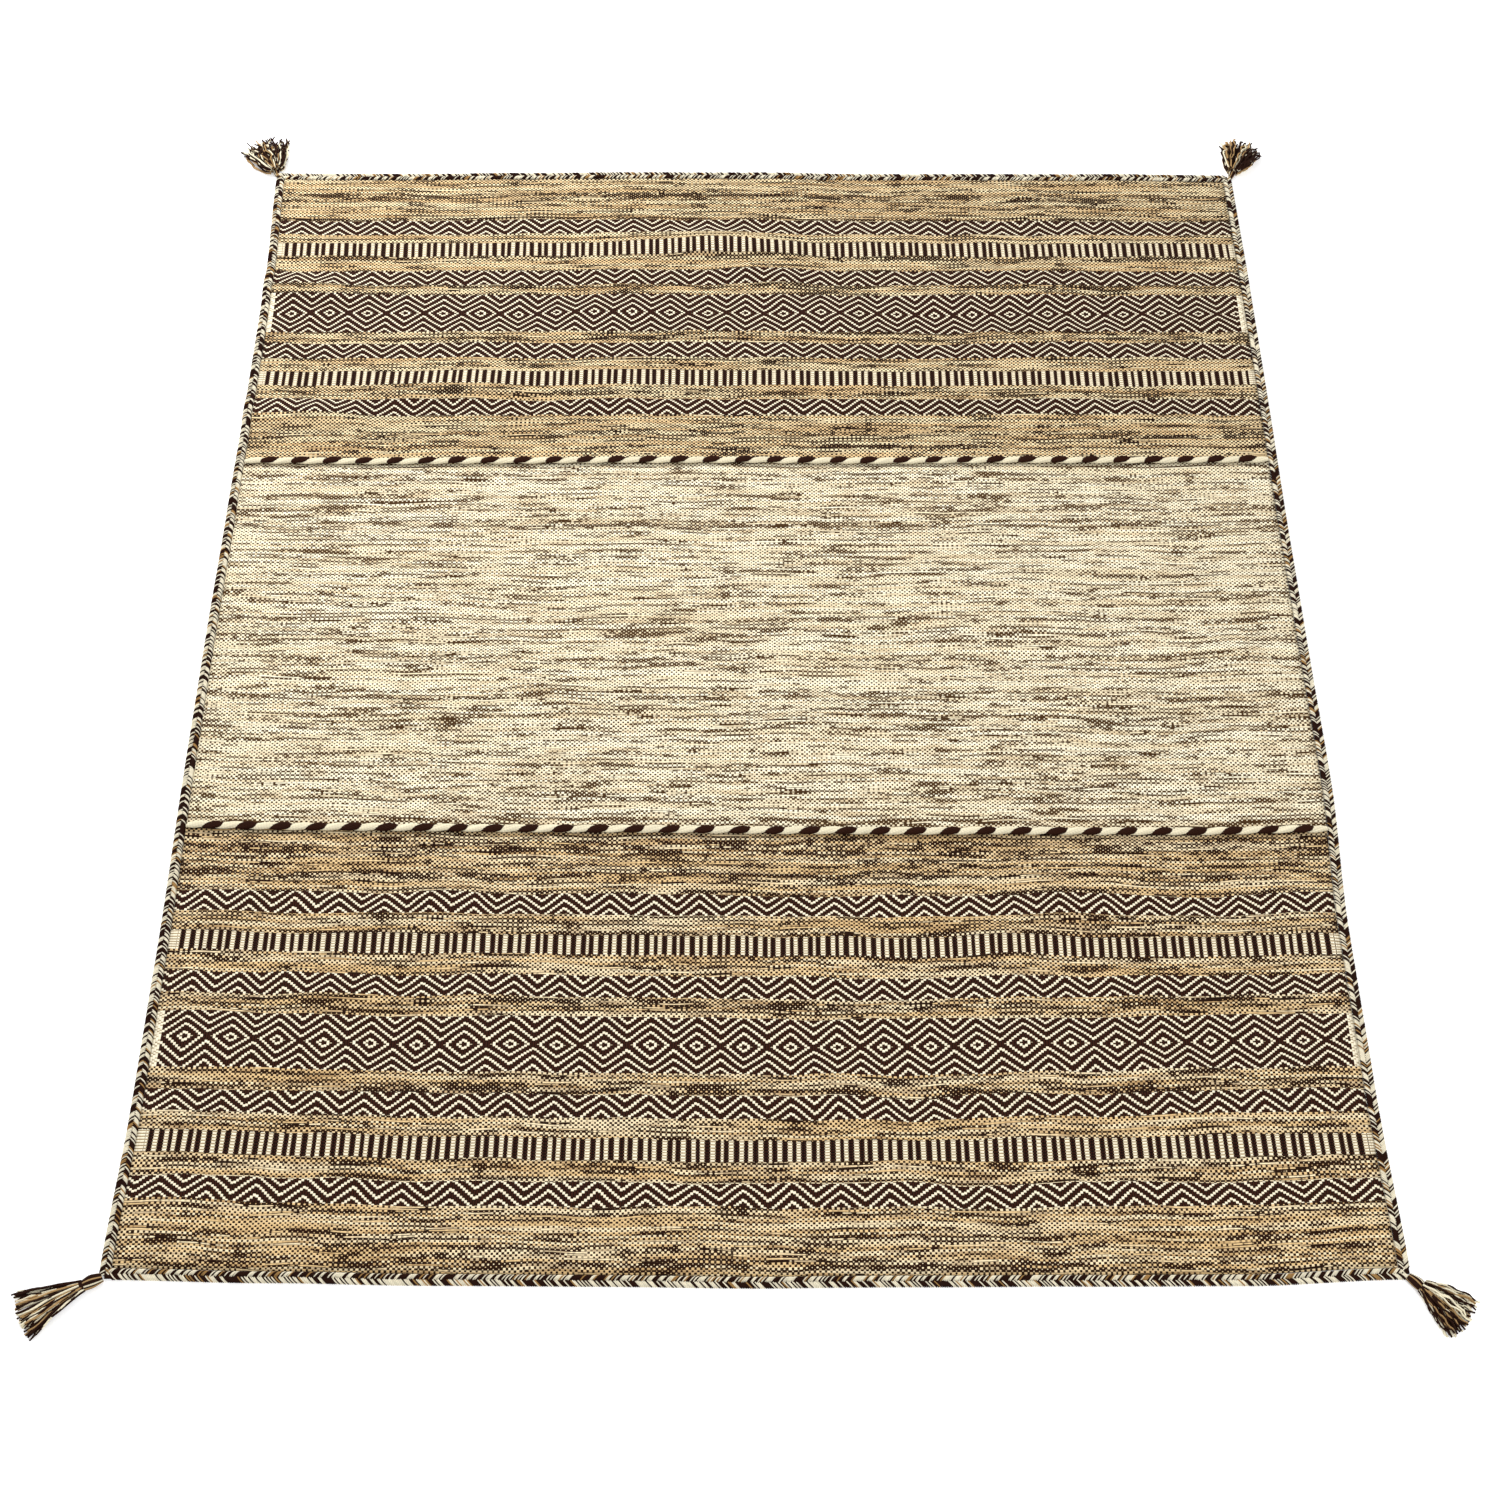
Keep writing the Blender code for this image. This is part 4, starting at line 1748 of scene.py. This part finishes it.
@dataclass
class Studio:
    """The pale floor, the lamps and the camera."""

    camera_place: tuple[float, float, float] = (-0.0182, -1.8445, 2.738)
    camera_turn: tuple[float, float, float] = (31.11, -0.206, 0.029)
    focal_share: float = 2131.3 / 1500
    sensor_width: float = 36
    floor_half: float = 6.0
    floor_drop: float = 0.0004
    floor_grey: float = 0.92
    floor_glow: float = 0.3
    sky_strength: float = 0.75
    lamps: tuple[SoftLight, ...] = (
        SoftLight("key_lamp", (-1.6, 2.6, 2.6), 1.3, 150),
        SoftLight("fill_lamp", (1.6, -2.4, 3.2), 2.6, 60),
    )

    def build_camera(self) -> None:
        """Sets the camera where the photograph was taken from."""
        data = bpy.data.cameras.new("camera")
        data.sensor_width = self.sensor_width
        data.lens = self.focal_share * self.sensor_width
        data.clip_end = 50
        obj = bpy.data.objects.new("camera", data)
        obj.location = self.camera_place
        obj.rotation_euler = Euler([math.radians(angle) for angle in self.camera_turn])
        bpy.context.scene.collection.objects.link(obj)
        bpy.context.scene.camera = obj

    def build_floor(self) -> None:
        """Lays the pale floor."""
        half = self.floor_half
        low = -self.floor_drop
        mesh = bpy.data.meshes.new("floor")
        corners = [(-half, -half, low), (half, -half, low), (half, half, low), (-half, half, low)]
        mesh.from_pydata(corners, [], [(0, 1, 2, 3)])
        material = bpy.data.materials.new("pale_floor")
        material.use_nodes = True
        shader = material.node_tree.nodes["Principled BSDF"]
        shader.inputs["Base Color"].default_value = (*[self.floor_grey] * 3, 1)
        shader.inputs["Roughness"].default_value = 0.9
        shader.inputs["Specular IOR Level"].default_value = 0.1
        shader.inputs["Emission Color"].default_value = (1, 1, 1, 1)
        shader.inputs["Emission Strength"].default_value = self.floor_glow
        mesh.materials.append(material)
        obj = bpy.data.objects.new("floor", mesh)
        bpy.context.scene.collection.objects.link(obj)

    def build(self) -> None:
        """Sets up the whole studio."""
        self.build_camera()
        self.build_floor()
        for lamp in self.lamps:
            lamp.build()
        world = bpy.data.worlds.new("studio_air")
        world.use_nodes = True
        background = world.node_tree.nodes["Background"]
        background.inputs["Color"].default_value = (1, 1, 1, 1)
        background.inputs["Strength"].default_value = self.sky_strength
        bpy.context.scene.world = world
        bpy.context.scene.view_settings.view_transform = "Standard"


# The cloth's dyes, bands and askew rows

# The fourth shade of each dye, deep, is painted into the hollows between the beads: painted shade,
# partly the brown weft seen there.
NEAR_DYE = Dye("F0DDB6", "DDBC88", "8A643C", "241105", hollow=(0.27, -0.76), line_share=0.06, seed=1)
FIELD_DYE = Dye("F8F0D4", "EEDFBC", "C0A57C", "463018", hollow=(0.38, -0.66), line_share=0.04, seed=2)
FAR_DYE = Dye("EEDCB2", "DFBE8C", "8E6A42", "241408", hollow=(0.19, -0.80), line_share=0.08, seed=3)
NEAR_DARK_SHARE = 0.68
FAR_DARK_SHARE = 0.73
NEAR_BANDS = (
    Band(Pattern.ZIGZAG, -0.4720, -0.4392),
    Band(Pattern.LADDER, -0.5350, -0.5050),
    Band(Pattern.ZIGZAG, -0.6008, -0.5680),
    Band(Pattern.DIAMOND, -0.7149, -0.6311),
    Band(Pattern.ZIGZAG, -0.7796, -0.7468),
    Band(Pattern.LADDER, -0.8405, -0.8095),
    Band(Pattern.ZIGZAG, -0.9036, -0.8708),
)
FAR_BANDS = (
    Band(Pattern.ZIGZAG, 0.8640, 0.8968),
    Band(Pattern.LADDER, 0.8110, 0.8430),
    Band(Pattern.ZIGZAG, 0.7440, 0.7768),
    Band(Pattern.DIAMOND, 0.6372, 0.7210),
    Band(Pattern.ZIGZAG, 0.5790, 0.6118),
    Band(Pattern.LADDER, 0.5185, 0.5495),
    Band(Pattern.ZIGZAG, 0.4545, 0.4873),
)

PULLS = (
    Pull(0.62, -0.72, 0.36, 0.18, 0.0085),
    Pull(0.44, -0.445, 0.12, 0.07, 0.0075),
    Pull(0.13, -0.590, 0.16, 0.07, -0.0045),
    Pull(0.37, -0.525, 0.12, 0.06, 0.0060),
    Pull(0.21, -0.765, 0.09, 0.06, -0.0070),
    Pull(0.28, -0.890, 0.10, 0.06, -0.0050),
    Pull(-0.45, -0.450, 0.07, 0.06, 0.0040),
    Pull(-0.68, -0.800, 0.26, 0.17, 0.0045),
    Pull(-0.76, -0.660, 0.12, 0.10, 0.0050),
    Pull(0.36, 0.10, 0.20, 0.12, 0.0080),
    Pull(0.58, -0.12, 0.16, 0.10, -0.0080),
    Pull(0.10, -0.16, 0.22, 0.09, 0.0060),
    Pull(-0.30, 0.06, 0.26, 0.12, -0.0060),
    Pull(0.66, 0.17, 0.14, 0.10, -0.0060),
    Pull(-0.08, 0.830, 0.10, 0.06, 0.0060),
    Pull(0.30, 0.630, 0.12, 0.08, -0.0045),
)


def build_cloth() -> None:
    """Weaves the three lengths of the cloth."""
    ornament = Ornament()
    groups = ClothGroups(
        Weave().build(), Melange().build(), ornament.build_zigzag(), ornament.build_ladder()
    )
    edge = PLAN.braid_width + PLAN.seam
    lengths = (
        (ClothLength("cloth_near_panel", None, NEAR_TWINE), NEAR_DYE, NEAR_BANDS),
        (ClothLength("cloth_field", NEAR_TWINE, FAR_TWINE), FIELD_DYE, ()),
        (ClothLength("cloth_far_panel", FAR_TWINE, None), FAR_DYE, FAR_BANDS),
    )
    for length, dye, bands in lengths:
        near = PLAN.point(0, -1, edge).y if length.near_line is None else length.near_line.y(0)
        far = PLAN.point(0, 1, edge).y if length.far_line is None else length.far_line.y(0)
        share = PLAN.share_along(0, (near + far) / 2, edge)
        left = PLAN.point(-1, share, edge).x
        right = PLAN.point(1, share, edge).x
        dark_share = FAR_DARK_SHARE if length.far_line is None else NEAR_DARK_SHARE
        finish = WovenCotton(
            "woven_" + length.name, dye, bands, near, far, left, right, dark_share
        )
        length.build(finish.build(groups))


def build_yarns() -> None:
    """Makes everything of loose, twisted or plaited yarn."""
    fibres = build_fibres()
    shades = ((0.0, "F1E8CE"), (0.46, "A8824F"), (0.54, "28120A"))
    plait = Plait()
    plait_tree = plait.build_tree()
    plait_cotton = YarnCotton("plaited_cotton", shades).build(fibres)
    for side in ("near", "far", "left", "right"):
        plait.build(side, plait_tree, plait_cotton)
    cord = TwinedCord()
    cord_tree = cord.build_tree()
    cord_shades = ((0.0, "2A1208"), (0.5, "ECE2C4"))
    cord_cotton = YarnCotton("twined_cotton", cord_shades, turns=400.0).build(fibres)
    cord.build("cord_near", "twine_near", NEAR_TWINE, cord_tree, cord_cotton)
    cord.build("cord_far", "twine_far", FAR_TWINE, cord_tree, cord_cotton)
    tassel = Tassel()
    tassel_tree = tassel.build_tree()
    tassel_shades = ((0.0, "F0E6C8"), (0.34, "B08E60"), (0.50, "28130A"))
    tassel_cotton = YarnCotton("tassel_cotton", tassel_shades, turns=14.0).build(fibres)
    for lie in tassel.lies:
        tassel.build(lie, tassel_tree, tassel_cotton)


def main() -> None:
    """Builds the studio and the rug."""
    logging.basicConfig(level=logging.INFO, format="%(message)s")
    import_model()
    Studio().build()
    build_cloth()
    build_yarns()


if __name__ == "__main__":
    main()
